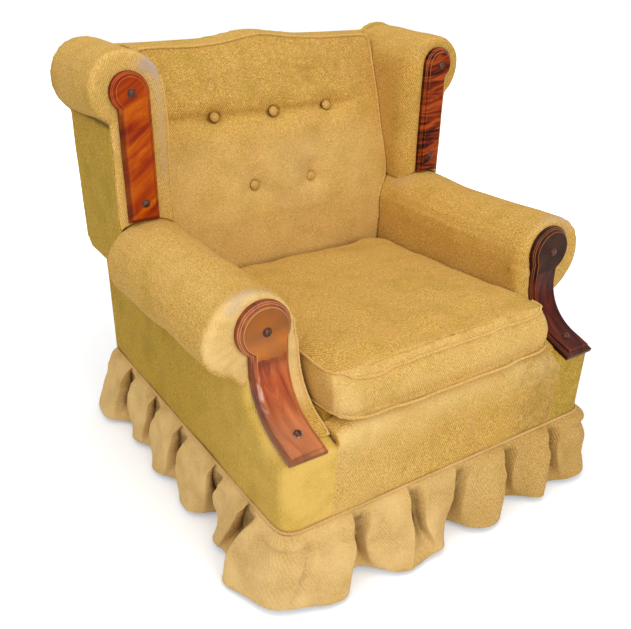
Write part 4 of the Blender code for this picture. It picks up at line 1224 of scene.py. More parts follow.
@dataclass
class Panel(Padding):
    """A panel of cloth over thin padding: the outside arms, wings and back."""

    seed: int = 5
    swell: float = 0.0008
    roll_z: float = 9.0  # height at which it runs in under a roll; out of reach where it has none
    lift: float = 0.0  # how far its top is drawn up out of sight
    glow: float = 0.0  # painted light: how much paler its front end is drawn
    dull: float = 0.0  # painted shade: how much darker its front is drawn

    def shift(self, place: Array, normal: Array) -> Array:
        """The top runs on behind the facing and into the roll.

        Args:
            place: N by 3 places.
            normal: not used.

        Returns:
            How far each point moves in X, Y and Z, in metres.
        """
        x, y, z = place.T
        out = np.zeros_like(place)
        top = step(z, self.roll_z - 0.022, self.roll_z - 0.003)
        front = step(z, 0.405, 0.430) * step(y, -0.22, -0.27)
        out[:, 2] = self.lift * np.where(np.abs(x) > 0.39, top, front)
        return out

    def faded_and_lit(self, place: Array, normal: Array) -> Array:
        """Painted light: paler towards the chair's front, added to the padding's own share."""
        return super().faded_and_lit(place, normal) + self.glow * step(place[:, 1], 0.05, -0.38)

    def rise(self, place: Array, normal: Array) -> Array:
        """Faint waves of slackened cloth, pulled in under the roll and behind the skirt.

        Args:
            place: N by 3 places.
            normal: their normals.

        Returns:
            How far each point moves out along its normal, in metres.
        """
        z = place[:, 2]
        under = step(z, self.roll_z - 0.022, self.roll_z) * step(np.abs(normal[:, 0]), 0.6, 0.9)
        behind = step(z, 0.168, 0.156)
        waves = self.swell * lumps(place, 0.14, self.seed) * (1 - behind)
        return waves - 0.0045 * under - 0.003 * behind

    def dirt_and_shade(self, place: Array, normal: Array) -> Array:
        """Painted shade right under the roll, and a front drawn darker on the shaded side.

        Args:
            place: N by 3 places.
            normal: their normals.

        Returns:
            A share from 0 to 1 for each point.
        """
        under = step(place[:, 2], self.roll_z - 0.012, self.roll_z - 0.002)
        under *= 0.8 * step(np.abs(normal[:, 0]), 0.8, 0.95)
        return under + self.dull * step(-normal[:, 1], 0.2, 0.8)


@dataclass
class Border(Panel):
    """The seat border, drawn tight between the two arms."""

    def faded_and_lit(self, place: Array, normal: Array) -> Array:
        """Painted light: paler along its top and towards the viewer's left.

        Args:
            place: N by 3 places.
            normal: their normals.

        Returns:
            A share from 0 to 1 for each point.
        """
        x, _, z = place.T
        shares = 0.50 * step(z, 0.255, 0.345) + 0.30 * step(x, 0.05, -0.27)
        return shares * step(-normal[:, 1], 0.2, 0.8)

    def dirt_and_shade(self, place: Array, normal: Array) -> Array:
        """Painted shade: darker towards the viewer's right."""
        return self.dull * step(place[:, 0], 0.04, 0.25) * step(-normal[:, 1], 0.2, 0.8)

    def shift(self, place: Array, normal: Array) -> Array:
        """Its ends slope down to meet the feet of the arms' curves.

        Args:
            place: N by 3 places.
            normal: not used.

        Returns:
            How far each point moves in X, Y and Z, in metres.
        """
        x, _, z = place.T
        out = np.zeros_like(place)
        covered = 0.002 + 0.016 * step(z, 0.335, 0.300)
        out[:, 0] = np.sign(x) * covered * step(np.abs(x), 0.24, 0.272)
        out[:, 2] = -0.016 * step(np.abs(x), 0.232, 0.278) * step(z, 0.30, 0.352)
        return out


# Welts and buttons


@dataclass
class Welt:
    """A covered piping cord sewn into a seam."""

    name: str
    path: Sequence[Triple]
    radius: float = 0.0028
    proud: float = 0.35
    closed: bool = False
    rubbed: float = 0.06
    faded_and_lit: float = 0.25

    def build(self, host: Optional[Piece], material: Material, slot: str = "tweed") -> Piece:
        """Lays the cord on its host and turns it into a mesh.

        Args:
            host: the padded piece that it is sewn to, or None where the path is already in place.
            material: its cloth.
            slot: not used.

        Returns:
            The finished piece.
        """
        curve = bpy.data.curves.new(self.name, "CURVE")
        curve.dimensions = "3D"
        curve.bevel_depth = self.radius
        curve.bevel_resolution = 2
        curve.use_fill_caps = True
        spline = curve.splines.new("POLY")
        points = [Vector(point) for point in self.path]
        if host:
            near = [host.closest_point_on_mesh(point) for point in points]
            points = [spot + normal * self.radius * self.proud for _, spot, normal, _ in near]
        for _ in range(3):
            inner = [(a + b * 2 + c) / 4 for a, b, c in zip(points, points[1:], points[2:])]
            points = [points[0]] + inner + [points[-1]]
        spline.points.add(len(points) - 1)
        for target, point in zip(spline.points, points):
            target.co = (*point, 1.0)
        spline.use_cyclic_u = self.closed
        cord = add_object(self.name, curve)
        only(cord)
        bpy.ops.object.convert(target="MESH")
        cord = bpy.context.object
        cord.name = self.name
        lay_weave(cord, flat_chart)
        place = places(cord)
        for name, share in (("rubbed", self.rubbed), ("dirt_and_shade", 0.0), ("faded_and_lit", self.faded_and_lit)):
            paint(cord, name, np.full(len(place), share))
        smooth(cord, 60)
        dress(cord, material, [])
        return cord


# the inside back's side seam rises from this foot and leans further back the higher it is
BACK_FOOT_Y = 0.209
BACK_FOOT_Z = 0.42
BACK_LEAN = 0.38
BACK_BEND = 1.45


def recline(z: float) -> float:
    """Y of the inside back's side seam at a height."""
    return BACK_FOOT_Y + BACK_LEAN * max(0.0, z - BACK_FOOT_Z) ** BACK_BEND


def crest(x: float) -> float:
    """Height of the serpentine top seam."""
    return 0.903 + 0.017 * math.exp(-((x / 0.085) ** 2))


@dataclass
class BackButton:
    """A cloth-covered button pulled into the back."""

    name: str
    x: float
    z: float
    radius: float = 0.0115
    height: float = 0.0065

    def build(self, material: Material) -> Piece:
        """Makes the button.

        Args:
            material: its cloth.

        Returns:
            The finished piece.
        """
        low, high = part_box(self.name)
        centre = (low + high) / 2
        bpy.ops.object.select_all(action="DESELECT")
        bpy.ops.mesh.primitive_uv_sphere_add(segments=28, ring_count=14, radius=self.radius)
        piece = bpy.context.object
        piece.name = self.name + "_cloth"
        place = places(piece)
        around = np.arctan2(place[:, 1], place[:, 0])
        flat = place[:, 2] / self.radius
        domed = flat ** 2 * self.height * 0.5 + flat * self.height * 0.5
        place[:, 2] = np.where(flat > 0, domed, flat * 0.003)
        rim = bump(flat, 0.05, 0.35)
        place[:, :2] *= (1 + 0.03 * np.sin(around * 9) * rim)[:, None]
        move_to(piece, place)
        slope = BACK_LEAN * BACK_BEND * (self.z - BACK_FOOT_Z) ** (BACK_BEND - 1)
        tilt = math.pi / 2 - math.atan(slope)
        piece.data.transform(Matrix.Translation(centre) @ Matrix.Rotation(tilt, 4, "X"))
        lay_weave(piece, flat_chart)
        for name, share in (("rubbed", 0.1), ("dirt_and_shade", 0.1), ("faded_and_lit", 0.2)):
            paint(piece, name, np.full(len(place), share))
        smooth(piece, 60)
        dress(piece, material, [self.name])
        return piece


# Show wood


@dataclass(frozen=True)
class ArmCurve:
    """The front of an arm: upright past the disc, then a sweep forwards to a straight foot."""

    front_y: float = -0.299
    disc_z: float = 0.517
    upright: float = 0.061
    radius: float = 0.110
    turn: float = math.radians(72.0)
    straight_foot: float = 0.053

    @property
    def length(self) -> float:
        """Distance from the disc's centre down to the end of the foot."""
        return self.upright + self.radius * self.turn + self.straight_foot

    def lean(self, s: float) -> float:
        """How far the face has turned forwards, s below the disc's centre."""
        return min(max(0.0, s - self.upright) / self.radius, self.turn)

    def spot(self, s: float, depth: float) -> Pair:
        """Y and Z on the curve, s below the disc's centre and depth behind the face.

        Args:
            s: distance below the disc's centre, along the curve.
            depth: distance behind the face.

        Returns:
            Y and Z.
        """
        if s <= self.upright:
            return self.front_y + depth, self.disc_z - s
        angle = self.lean(s)
        reach = self.radius + depth
        along = s - self.upright - angle * self.radius
        y = self.front_y - self.radius + reach * math.cos(angle) - along * math.sin(angle)
        z = self.disc_z - self.upright - reach * math.sin(angle) - along * math.cos(angle)
        return y, z

    def front_line(self, z: Array, depth: float) -> Array:
        """Y of the curve at heights Z, at a depth behind the face."""
        rows = np.array([self.spot(s, depth) for s in np.linspace(0.252, 0.0, 80)])
        return np.interp(z, rows[:, 1], rows[:, 0])


ARM_CURVE = ArmCurve()


def wing_face(s: float, depth: float, pad_y: float = 0.168, facing: float = 0.0183) -> Pair:
    """Y and Z on a wing's straight facing, which stands proud of the pad by its thickness."""
    return pad_y - facing + depth, 0.846 - s


@dataclass
class Facing:
    """A moulded wooden facing: a disc above a strip, bent to the front that it covers."""

    node: str
    side: int
    disc_x: float
    disc_radius: float
    strip: Pair
    foot: float
    place: Callable[[float, float], Pair]
    worn: float
    # how far the strip is scratched, and how much painted sheen its lower part takes
    chafed_and_lit: float = 0.0
    thickness: float = 0.018
    # the strip is cut across into short lengths so that it can bend
    slice_length: float = 0.006
    clear_of_disc: float = 0.002
    clear_of_foot: float = 0.012
    # inset from the outline, depth below the face, and how pale the crest is, as painted highlight and
    # rubbed edge
    moulding: tuple[Triple, ...] = (
        (0.0, 0.0102, 0.0), (0.0014, 0.0088, 0.0), (0.0021, 0.0084, 0.9), (0.0029, 0.0082, 0.0),
        (0.0042, 0.0066, 0.0), (0.0051, 0.0059, 0.9), (0.0060, 0.0056, 0.0), (0.0076, 0.0048, 0.0),
        (0.0090, 0.0012, 0.0), (0.0098, 0.0003, 0.9), (0.0106, 0.0, 0.0), (0.0120, 0.0, 0.0),
        (0.0128, 0.0, 0.0), (0.0140, 0.0, 0.0),
    )

    def outline(self) -> Piece:
        """Draws the flat outline, with X across and Y down from the disc's centre.

        Returns:
            An object with one face.
        """
        bpy.ops.object.select_all(action="DESELECT")
        bpy.ops.mesh.primitive_circle_add(
            vertices=96, radius=self.disc_radius, location=(self.disc_x, 0, 0)
        )
        piece = bpy.context.object
        bpy.ops.object.transform_apply(location=True, rotation=False, scale=False)
        mesh = bmesh.new()
        mesh.from_mesh(piece.data)
        inner, outer = self.strip
        gone = [v for v in mesh.verts if v.co.y > 0 and inner < v.co.x < outer]
        beside = {edge.other_vert(v) for v in gone for edge in v.link_edges}
        ends = sorted(beside - set(gone), key=lambda v: v.co.x)
        for end, x in zip(ends, (inner, outer)):
            reach = min(1.0, abs(x - self.disc_x) / self.disc_radius)
            end.co = (x, self.disc_radius * math.sqrt(max(0.0, 1 - reach ** 2)), 0.0)
        bmesh.ops.delete(mesh, geom=gone, context="VERTS")
        mesh.verts.index_update()
        corners = {end.index for end in ends}
        mesh.to_mesh(piece.data)
        mesh.free()
        with edit_mode(piece, "DESELECT"):
            bpy.ops.mesh.select_mode(type="VERT")
        for vertex in piece.data.vertices:
            vertex.select = vertex.index in corners
        with edit_mode(piece, None):
            bpy.ops.mesh.extrude_region_move()
        for vertex in piece.data.vertices:
            if vertex.select:
                vertex.co.y = self.foot
        with edit_mode(piece):
            bpy.ops.mesh.remove_doubles(threshold=1e-6)
            bpy.ops.mesh.edge_face_add()
        return piece

    def build(self, material: Material) -> Piece:
        """Makes the facing.

        Args:
            material: its wood.

        Returns:
            The finished piece.
        """
        piece = self.outline()
        piece.name = self.node + "_moulded"
        face_outwards(piece)
        if piece.data.polygons[0].normal.z < 0:
            piece.data.flip_normals()
        height = self.thickness - self.moulding[0][1]
        with edit_mode(piece):
            bpy.ops.mesh.select_mode(type="FACE")
            bpy.ops.mesh.extrude_region_move(TRANSFORM_OT_translate={"value": (0, 0, height)})
            for low, high in zip(self.moulding, self.moulding[1:]):
                bpy.ops.mesh.inset(
                    thickness=high[0] - low[0], depth=low[1] - high[1], use_even_offset=True,
                )
            s = self.disc_radius + self.clear_of_disc
            while s < self.foot - self.clear_of_foot:
                bpy.ops.mesh.select_all(action="SELECT")
                bpy.ops.mesh.bisect(plane_co=(0, s, 0), plane_no=(0, 1, 0))
                s += self.slice_length
        self.bend(piece)
        smooth(piece, 12)
        dress(piece, material, [self.node])
        return piece

    def weather(self, piece: Piece, flat: Array, depth: Array) -> None:
        """Paints the wear, the painted highlights and the painted shade on the flat facing.

        Args:
            piece: the flat facing.
            flat: its vertex places.
            depth: their depths below its face.
        """
        x, y, disc = flat[:, 0], flat[:, 1], self.disc_radius
        # painted highlights: a pale line on each bead's crest, standing also for rubbed edges,
        # strongest on the disc
        crest_highlight_and_wear = np.zeros(len(flat))
        for _, low, share in self.moulding:
            crest_highlight_and_wear = np.maximum(crest_highlight_and_wear, share * bump(depth, low, 0.00012))
        away = np.hypot(x - self.disc_x, y)
        crest_highlight_and_wear *= 0.30 + 0.70 * step(away, disc * 1.5, disc)
        # painted sheen: the lower strip is drawn paler, as far as the arm is chafed and lit
        painted_sheen = 0.50 * self.chafed_and_lit * step(y, 0.110, 0.200)
        paint(piece, "crest", np.maximum(crest_highlight_and_wear, painted_sheen))

        off_crest = crest_highlight_and_wear < 0.1
        # painted shade in the moulding's hollows: the deep wall and a groove, the strip's outer flank
        # and the sunk rings of a worn disc; wide is grime where hands hold
        hollow_shade = 0.6 * step(depth, 0.009, 0.0104) + 0.5 * bump(depth, 0.0056, 0.0004) * off_crest
        handled = 0.46 * step(y, disc * 0.65, disc * -0.20)
        fringe = np.maximum(handled, 0.40 * bump(y, disc * 1.10, disc * 0.16))
        flank = 0.6 * step(x, self.strip[1] - 0.0075, self.strip[1] - 0.0050) * (y > disc)
        rim = 0.36 * (self.worn > 0) * (depth > 0.0006) * off_crest * (y < disc)
        wide = self.worn * fringe * (depth < 0.0002)
        paint(piece, "grime_and_shade", np.maximum.reduce([hollow_shade, flank, rim, wide]))

        held = step(y, disc * 1.12, disc * 0.90)
        paint(piece, "bare", self.worn * held * step(depth, 0.0045, 0.0001))

        chipped = step(lumps(flat * np.array((3.0, 1.0, 1.0)), 0.020, 55), -0.2, 0.5)
        bend = step(y, 0.075, 0.10) * step(y, 0.165, 0.13)
        outer = step(x, self.strip[1] - 0.013, self.strip[1] - 0.0115)
        paint(piece, "scratch", self.chafed_and_lit * chipped * bend * outer * step(depth, 0.0078, 0.0045))

    def bend(self, piece: Piece) -> None:
        """Weathers the flat facing and lays its grain, then bends it to its place.

        Args:
            piece: the flat facing, its back at zero.
        """
        flat = places(piece)
        depth = self.thickness - flat[:, 2]
        self.weather(piece, flat, depth)
        mesh = piece.data
        corners = np.empty(len(mesh.loops), np.int64)
        mesh.loops.foreach_get("vertex_index", corners)
        layer = mesh.uv_layers.new(name="grain")
        offset = flat[corners][:, :2] - np.array([self.disc_x, 0.0])
        layer.data.foreach_set("uv", offset.astype(np.float32).ravel())
        bent = np.array([(x * self.side, *self.place(s, d)) for (x, s, _), d in zip(flat, depth)])
        move_to(piece, bent)
        face_outwards(piece)


@dataclass
class FacingScrew:
    """A domed screw with a turned washer, holding a facing."""

    node: str
    centre: Triple
    tilt: float
    head: float = 0.0074
    washer: float = 0.0090

    def turned(self, name: str, rings: Sequence[Pair]) -> Piece:
        """Turns a profile into a solid, ring by ring, as on a lathe.

        Args:
            name: the new object's name.
            rings: pairs of radius and height, from below.

        Returns:
            The solid, standing on the origin.
        """
        bpy.ops.object.select_all(action="DESELECT")
        radius, height = rings[0]
        bpy.ops.mesh.primitive_circle_add(
            vertices=32, radius=radius, fill_type="NGON", location=(0, 0, height)
        )
        piece = bpy.context.object
        bpy.ops.object.transform_apply(location=True, rotation=False, scale=False)
        with edit_mode(piece):
            for (r0, z0), (r1, z1) in zip(rings, rings[1:]):
                bpy.ops.mesh.extrude_region_move(TRANSFORM_OT_translate={"value": (0, 0, z1 - z0)})
                bpy.ops.transform.resize(value=(r1 / r0, r1 / r0, 1.0), center_override=(0, 0, z1))
        face_outwards(piece)
        piece.name = name
        return piece

    def build(self, head: Material, rim: Material) -> None:
        """Makes the head and the washer.

        Args:
            head: finish of the head.
            rim: finish of the washer.
        """
        dome = [(0.0025, -0.045), (0.0025, 0.0008), (self.head, 0.0012), (self.head, 0.0020)]
        for angle in (0.3, 0.6, 0.9, 1.2, 1.4):
            dome.append((self.head * math.cos(angle), 0.0020 + 0.0034 * math.sin(angle)))
        ring = [
            (self.washer, -0.0002), (self.washer, 0.0009),
            (self.washer - 0.0005, 0.0014), (self.head - 0.0002, 0.0012),
        ]
        placed = Matrix.Translation(Vector(self.centre)) @ Matrix.Rotation(self.tilt, 4, "X")
        for name, rings, material in (("_head", dome, head), ("_washer", ring, rim)):
            piece = self.turned(self.node + name, rings)
            if name == "_head":
                self.cut_slot(piece)
            piece.data.transform(placed)
            smooth(piece, 35)
            dress(piece, material, [self.node])

    def cut_slot(self, piece: Piece) -> None:
        """Cuts the screwdriver's slot across a head that still stands on the origin.

        Args:
            piece: the head.
        """
        bpy.ops.mesh.primitive_cube_add(size=1.0, location=(0, 0, 0.0056))
        cutter = bpy.context.object
        cutter.scale = (0.0013, 0.012, 0.0024)
        only(cutter)
        bpy.ops.object.transform_apply(location=True, rotation=False, scale=True)
        apply_modifier(piece, "BOOLEAN", operation="DIFFERENCE", object=cutter, solver="EXACT")
        bpy.data.objects.remove(cutter)


# Skirt


@dataclass
class PleatedSkirt:
    """The pleated skirt, one length of tweed laid into knife pleats round the base.

    At the seam the cloth lies in flat pleats, each lapped over the next in the direction of travel,
    anticlockwise from above. Towards the hem the laps open into waves.
    """

    half_width: float = 0.403
    half_depth: float = 0.420
    front_corner: float = 0.026
    rear_corner: float = 0.006
    top_z: float = 0.1635
    hem_z: float = 0.012
    lap: float = 0.024
    # place along the face and distance out from the base, in the direction of travel
    front_hem: tuple[Pair, ...] = (
        (-0.331, 0.051), (-0.298, 0.052), (-0.244, 0.004), (-0.170, 0.058), (-0.090, 0.059),
        (-0.042, 0.045), (-0.011, -0.018), (0.036, 0.044), (0.108, 0.053), (0.160, 0.006),
        (0.248, 0.051), (0.290, 0.023), (0.349, 0.043),
    )
    side_hem: tuple[Pair, ...] = (
        (0.385, 0.068), (0.335, 0.066), (0.289, 0.023), (0.214, 0.044), (0.156, 0.019),
        (0.073, 0.051), (0.002, 0.019), (-0.065, 0.045), (-0.112, 0.034), (-0.145, -0.026),
        (-0.198, 0.034), (-0.262, 0.036), (-0.314, 0.072), (-0.370, 0.056),
    )
    # place of each fold at the seam and at the hem
    front_folds: tuple[Pair, ...] = (
        (-0.256, -0.244), (-0.122, -0.098), (0.006, -0.011), (0.142, 0.160), (0.278, 0.290),
    )
    side_folds: tuple[Pair, ...] = (
        (0.297, 0.289), (0.142, 0.156), (0.0, 0.002), (-0.163, -0.145), (-0.303, -0.270),
    )
    buckle: float = 0.050
    corner_out: tuple[Pair, ...] = ((0.25, 0.043), (0.65, 0.034))
    levels: tuple[float, ...] = (
        0.0, 0.025, 0.06, 0.095, 0.125, 0.16, 0.195, 0.24, 0.29, 0.36,
        0.44, 0.53, 0.62, 0.71, 0.80, 0.88, 0.94, 0.98, 1.0,
    )
    # what stands out of, or sinks into, the even hang of the cloth
    clear_of_base: float = 0.0008
    layer_step: float = 0.0028
    fold_edge: float = 0.007
    panel_swell: float = 0.0075
    ridge: float = 0.0085
    pocket: float = 0.0190
    lip: float = 0.011
    groove: float = 0.008
    crumple: float = 0.0032
    lap_layer: float = 0.52  # threads in a layer above this one are in sight
    cloth_length: float = field(default=0.0, init=False)

    def base_line(self) -> tuple[Array, Array, Array]:
        """Walks round the base, anticlockwise from above, from the middle of the front.

        Returns:
            Points, outward directions and distances along.
        """
        w, d = self.half_width, self.half_depth
        corners = (
            (w, -d, self.front_corner, -90.0), (w, d, self.rear_corner, 0.0),
            (-w, d, self.rear_corner, 90.0), (-w, -d, self.front_corner, 180.0),
        )
        points, ways = [(0.0, -d)], [(0.0, -1.0)]
        for x, y, radius, start in corners:
            for k in range(9):
                angle = math.radians(start + 90.0 * k / 8)
                way = (math.cos(angle), math.sin(angle))
                points.append((x - math.copysign(radius, x) + way[0] * radius,
                               y - math.copysign(radius, y) + way[1] * radius))
                ways.append(way)
        points.append(points[0])
        ways.append(ways[0])
        points, ways = np.array(points), np.array(ways)
        lengths = np.concatenate([[0.0], np.cumsum(np.linalg.norm(np.diff(points, axis=0), axis=1))])
        return points, ways, lengths

    def along(self, half: int, side: bool, place: float) -> float:
        """Distance along the base line of a place on one face.

        Args:
            half: 0 for the back and the left-hand side, 1 for the front and the right-hand side.
            side: whether the face is a side.
            place: X on the front or Y on the left-hand side; the other two faces turn it round.

        Returns:
            The distance from the middle of the front, which may be below zero.
        """
        w, d = self.half_width, self.half_depth
        front_turn = self.front_corner * (2 - math.pi / 2)
        rear_turn = self.rear_corner * (2 - math.pi / 2)
        if half and not side:
            return place
        if half:
            return w + d - front_turn - place
        if side:
            return -(w + d - front_turn) - place
        return place - 2 * (w + d) + front_turn + rear_turn

    def hem(self) -> tuple[Array, Array]:
        """The wave of the hem.

        Returns:
            Distances along the base line, and distances out, for one turn and a little more.
        """
        rows = []
        for half in (0, 1):
            for side, places in ((False, self.front_hem), (True, self.side_hem)):
                rows += [(self.along(half, side, place), out) for place, out in places]
        arc = self.front_corner * math.pi / 2
        for share, out in self.corner_out:
            rows.append((-(self.half_width - self.front_corner) - arc * (1 - share), out))
            rows.append((self.half_width - self.front_corner + arc * share, out))
        total = self.base_line()[2][-1]
        rows = sorted(((s % total), out) for s, out in rows)
        turns = np.array([(s + total * k, out) for k in (-1, 0, 1, 2) for s, out in rows])
        fine = np.arange(-0.3, total + 0.3, 0.002)
        knots, outs = turns[:, 0], turns[:, 1]
        slopes = np.gradient(outs, knots)
        index = np.clip(np.searchsorted(knots, fine) - 1, 0, len(knots) - 2)
        span = knots[index + 1] - knots[index]
        t = (fine - knots[index]) / span
        rise = 3 * t ** 2 - 2 * t ** 3
        out = outs[index] * (1 - rise) + outs[index + 1] * rise
        out += span * slopes[index] * t * (1 - t) ** 2 - span * slopes[index + 1] * t ** 2 * (1 - t)
        return fine, out

    def folds(self) -> list[Pair]:
        """Every fold's place at the seam and at the hem, once round from the middle of the front.

        Returns:
            Pairs of places along the base line, in order.
        """
        marks = []
        for half in (0, 1):
            for side, folds in ((False, self.front_folds), (True, self.side_folds)):
                marks += [(self.along(half, side, a), self.along(half, side, b)) for a, b in folds]
        total = self.base_line()[2][-1]
        marks = sorted((a % total, b + (a % total - a)) for a, b in marks)
        return marks + [(marks[0][0] + total, marks[0][1] + total)]

    def threads(self) -> dict[str, Array]:
        """Goes along the cloth through every pleat.

        Returns:
            For each thread: its place at the seam, its layer there, its place at the hem and
            distance out there, its distance along the cloth, how near it lies to a fold's edge, how
            far from the beginning of its panel, its X on the front, and how near to a front corner.
        """
        fine, out = self.hem()
        arc = np.concatenate([[0.0], np.cumsum(np.hypot(np.diff(fine), np.diff(out)))])
        rows = []
        run = 0.0
        marks = self.folds()
        for (a0, h0), (a1, h1) in zip(marks, marks[1:]):
            width = a1 - a0
            cloth = width + 2 * self.lap
            count = max(12, round((width - self.buckle) / 0.0075))
            spots = [self.buckle * k / 12 for k in range(12)]
            spots += [self.buckle + (width - self.buckle) * k / count for k in range(count)]
            steps = [(u, a0 + u, 0.25 + 0.75 * min(1.0, 4 * u / width)) for u in spots]
            steps += [(width - 0.0012, a1 - 0.0012, 1.0), (width, a1, 0.85)]
            for k in (1, 2, 3, 4):
                steps.append((width + self.lap * k / 4, a1 - self.lap * k / 4, 0.50))
            for k in (1, 2, 3):
                steps.append((width + self.lap * (1 + k / 4), a1 - self.lap * (1 - k / 4), 0.10))
            low, high = np.interp((h0, h1), fine, arc)
            for u, seam, layer in steps:
                place = float(np.interp(low + (high - low) * u / cloth, arc, fine))
                edge = math.exp(-(((u - width) / 0.026) ** 2)) if u <= width else 0.6
                start = u if u <= width else 0.0
                rows.append((seam, layer, place, run + u, edge, start))
            run += cloth
        table = np.array(rows)
        self.cloth_length = run
        rows = dict(zip(("seam", "layer", "hem", "cloth", "edge", "start"), table.T))
        total = self.base_line()[2][-1]
        rows["front_x"] = (rows["seam"] + total / 2) % total - total / 2
        rows["out"] = np.interp(rows["hem"] % total, fine, out)
        corner_x = self.half_width - self.front_corner * 0.25
        rows["corner"] = sum(
            bump((rows["seam"] - x + total / 2) % total - total / 2, 0.0, 0.034)
            for x in (-corner_x, corner_x)
        )
        return rows

    def buckled(self, start: Array, lapped: Array, level: float) -> tuple[Array, Array]:
        """How the beginning of a panel buckles behind the fold that laps it.

        Args:
            start: distance of each thread from the beginning of its panel.
            lapped: whether the thread lies in a panel and not under a fold.
            level: height, from 0 at the seam to 1 at the hem.

        Returns:
            Shares, from 0 to 1, of a rolled ridge that slants down to the fold and a pocket beside it.
        """
        begun = min(1.0, max(0.0, (level - 0.03) / 0.10))
        ended = min(1.0, max(0.0, (level - 0.62) / 0.34))
        held = begun * (1 - ended)
        ridge = np.maximum(0.0, 1 - np.abs(start - self.buckle) / 0.020) * lapped
        pocket = step(start, self.buckle - 0.002, self.buckle - 0.020)
        return held * ridge, held * pocket

    def hang(self, threads: dict[str, Array], level: float) -> tuple[Array, Array, Array]:
        """How the cloth hangs at one height.

        Args:
            threads: the cloth's threads.
            level: height, from 0 at the seam to 1 at the hem.

        Returns:
            Each thread's place along the base line, its distance out and its painted shade in the
            folds.
        """
        edge, start, layer, front_x = (threads[key] for key in ("edge", "start", "layer", "front_x"))
        lapped = layer > self.lap_layer
        opened = level ** 1.25
        place = threads["seam"] * (1 - opened) + threads["hem"] * opened
        place -= 0.006 * edge * bump(np.array(level), 0.22, 0.12)
        drawn = np.minimum(start / self.buckle, 1.0) * step(start, self.buckle * 2, self.buckle)
        place -= self.buckle * 0.55 * math.sin(math.pi * level) * drawn

        out = self.clear_of_base + self.layer_step * layer * min(1.0, 0.25 + level * 10)
        out = out + threads["out"] * level ** 0.92
        out += edge * lapped * (self.fold_edge * math.sin(math.pi * level ** 0.7) + 0.002)
        out += lapped * self.panel_swell * math.sin(math.pi * level ** 0.45)
        ridge, pocket = self.buckled(start, lapped, level)
        out += self.ridge * ridge - self.pocket * pocket

        # the fold that turns in at the left front corner
        lip = step(front_x, -0.3535, -0.3495) * step(front_x, -0.25, -0.34)
        groove = bump(front_x, -0.358, 0.006)
        held = math.sin(math.pi * min(1.0, level * 0.85 + 0.08))
        out += (self.lip * lip - self.groove * groove) * held

        # painted shade: darker in the pockets, under the laps and in the corner's groove
        hidden = ~lapped * math.sin(math.pi * min(1.0, level * 0.9 + 0.1))
        fold_shade = np.maximum(np.maximum(0.75 * pocket, 0.8 * hidden), 0.7 * groove * held)
        least = 0.0010 + 0.003 * min(1.0, level * 12) + 0.0012 * layer - 0.06 * max(0.0, level - 0.45)
        out = np.maximum(out, least)
        dent = 0.009 * bump(np.array(level), 0.085, 0.05) - 0.008 * bump(np.array(level), 0.20, 0.035)
        out += threads["corner"] * dent
        crumple = np.stack([threads["cloth"], np.full(len(place), level * 0.3), place], axis=1)
        slack = math.sin(math.pi * min(1.0, level * 1.1) ** 0.8)
        out += self.crumple * lumps(crumple, 0.070, 77) * slack
        return place, out, fold_shade

    def lay_weave(self, mesh: bpy.types.Mesh, uvs: list[list[float]], count: int) -> None:
        """Lays the weave along the cloth, carried on past the place where the strip closes.

        Args:
            mesh: the skirt's mesh.
            uvs: each vertex's place on the cloth.
            count: number of threads.
        """
        layer = mesh.uv_layers.new(name="weave")
        for polygon in mesh.polygons:
            closes = any(v % count == count - 1 for v in polygon.vertices)
            for loop in polygon.loop_indices:
                vertex = mesh.loops[loop].vertex_index
                u, v = uvs[vertex]
                if closes and vertex % count == 0:
                    u += self.cloth_length
                layer.data[loop].uv = (u, v)

    def build(self, material: Material) -> Piece:
        """Makes the skirt.

        Args:
            material: its cloth.

        Returns:
            The finished piece.
        """
        points, ways, lengths = self.base_line()
        threads = self.threads()
        drop = self.top_z - self.hem_z
        verts, uvs, fold_shade = [], [], []
        for level in self.levels:
            place, out, dirt_and_shade = self.hang(threads, level)
            along = place % lengths[-1]
            spot, way = (
                np.stack([np.interp(along, lengths, line[:, k]) for k in (0, 1)], axis=1)
                for line in (points, ways)
            )
            way /= np.linalg.norm(way, axis=1, keepdims=True)
            spot += way * out[:, None]
            z = self.top_z - drop * level + 0.0025 * level * np.sin(threads["cloth"] * 31)
            verts += np.column_stack([spot, z]).tolist()
            uvs += np.column_stack([threads["cloth"], z]).tolist()
            fold_shade += dirt_and_shade.tolist()
        count = len(threads["seam"])
        faces = [
            (row + i, row + count + i, row + count + (i + 1) % count, row + (i + 1) % count)
            for row in range(0, (len(self.levels) - 1) * count, count)
            for i in range(count)
        ]
        mesh = bpy.data.meshes.new("skirt_cloth")
        mesh.from_pydata(verts, [], faces)
        self.lay_weave(mesh, uvs, count)
        piece = add_object("skirt_cloth", mesh)
        level = (self.top_z - np.array(verts)[:, 2]) / drop
        # painted shade in the folds, and a darker band along the hem's bottom edge
        paint(piece, "dirt_and_shade", np.maximum(np.array(fold_shade) * 0.85, 0.35 * step(level, 0.93, 1.0)))
        apply_modifier(piece, "SUBSURF", levels=1, render_levels=1)
        apply_modifier(piece, "SOLIDIFY", thickness=0.0014, offset=-1.0)
        place = places(piece)
        low = step(place[:, 2], 0.15, 0.05)
        # painted light and shade: the skirt is drawn paler and more rubbed on the viewer's left, darker
        # towards the right
        dim = step(place[:, 0], -0.25, 0.25)
        paint(piece, "rubbed", (0.06 + 0.14 * low) * (1 - 0.5 * dim))
        paint(piece, "faded_and_lit", 0.80 - 0.62 * dim)
        smooth(piece, 70)
        dress(piece, material, ["skirt"])
        LOG.info("skirt cut %.3f m by %.3f m", self.cloth_length, drop)
        return piece

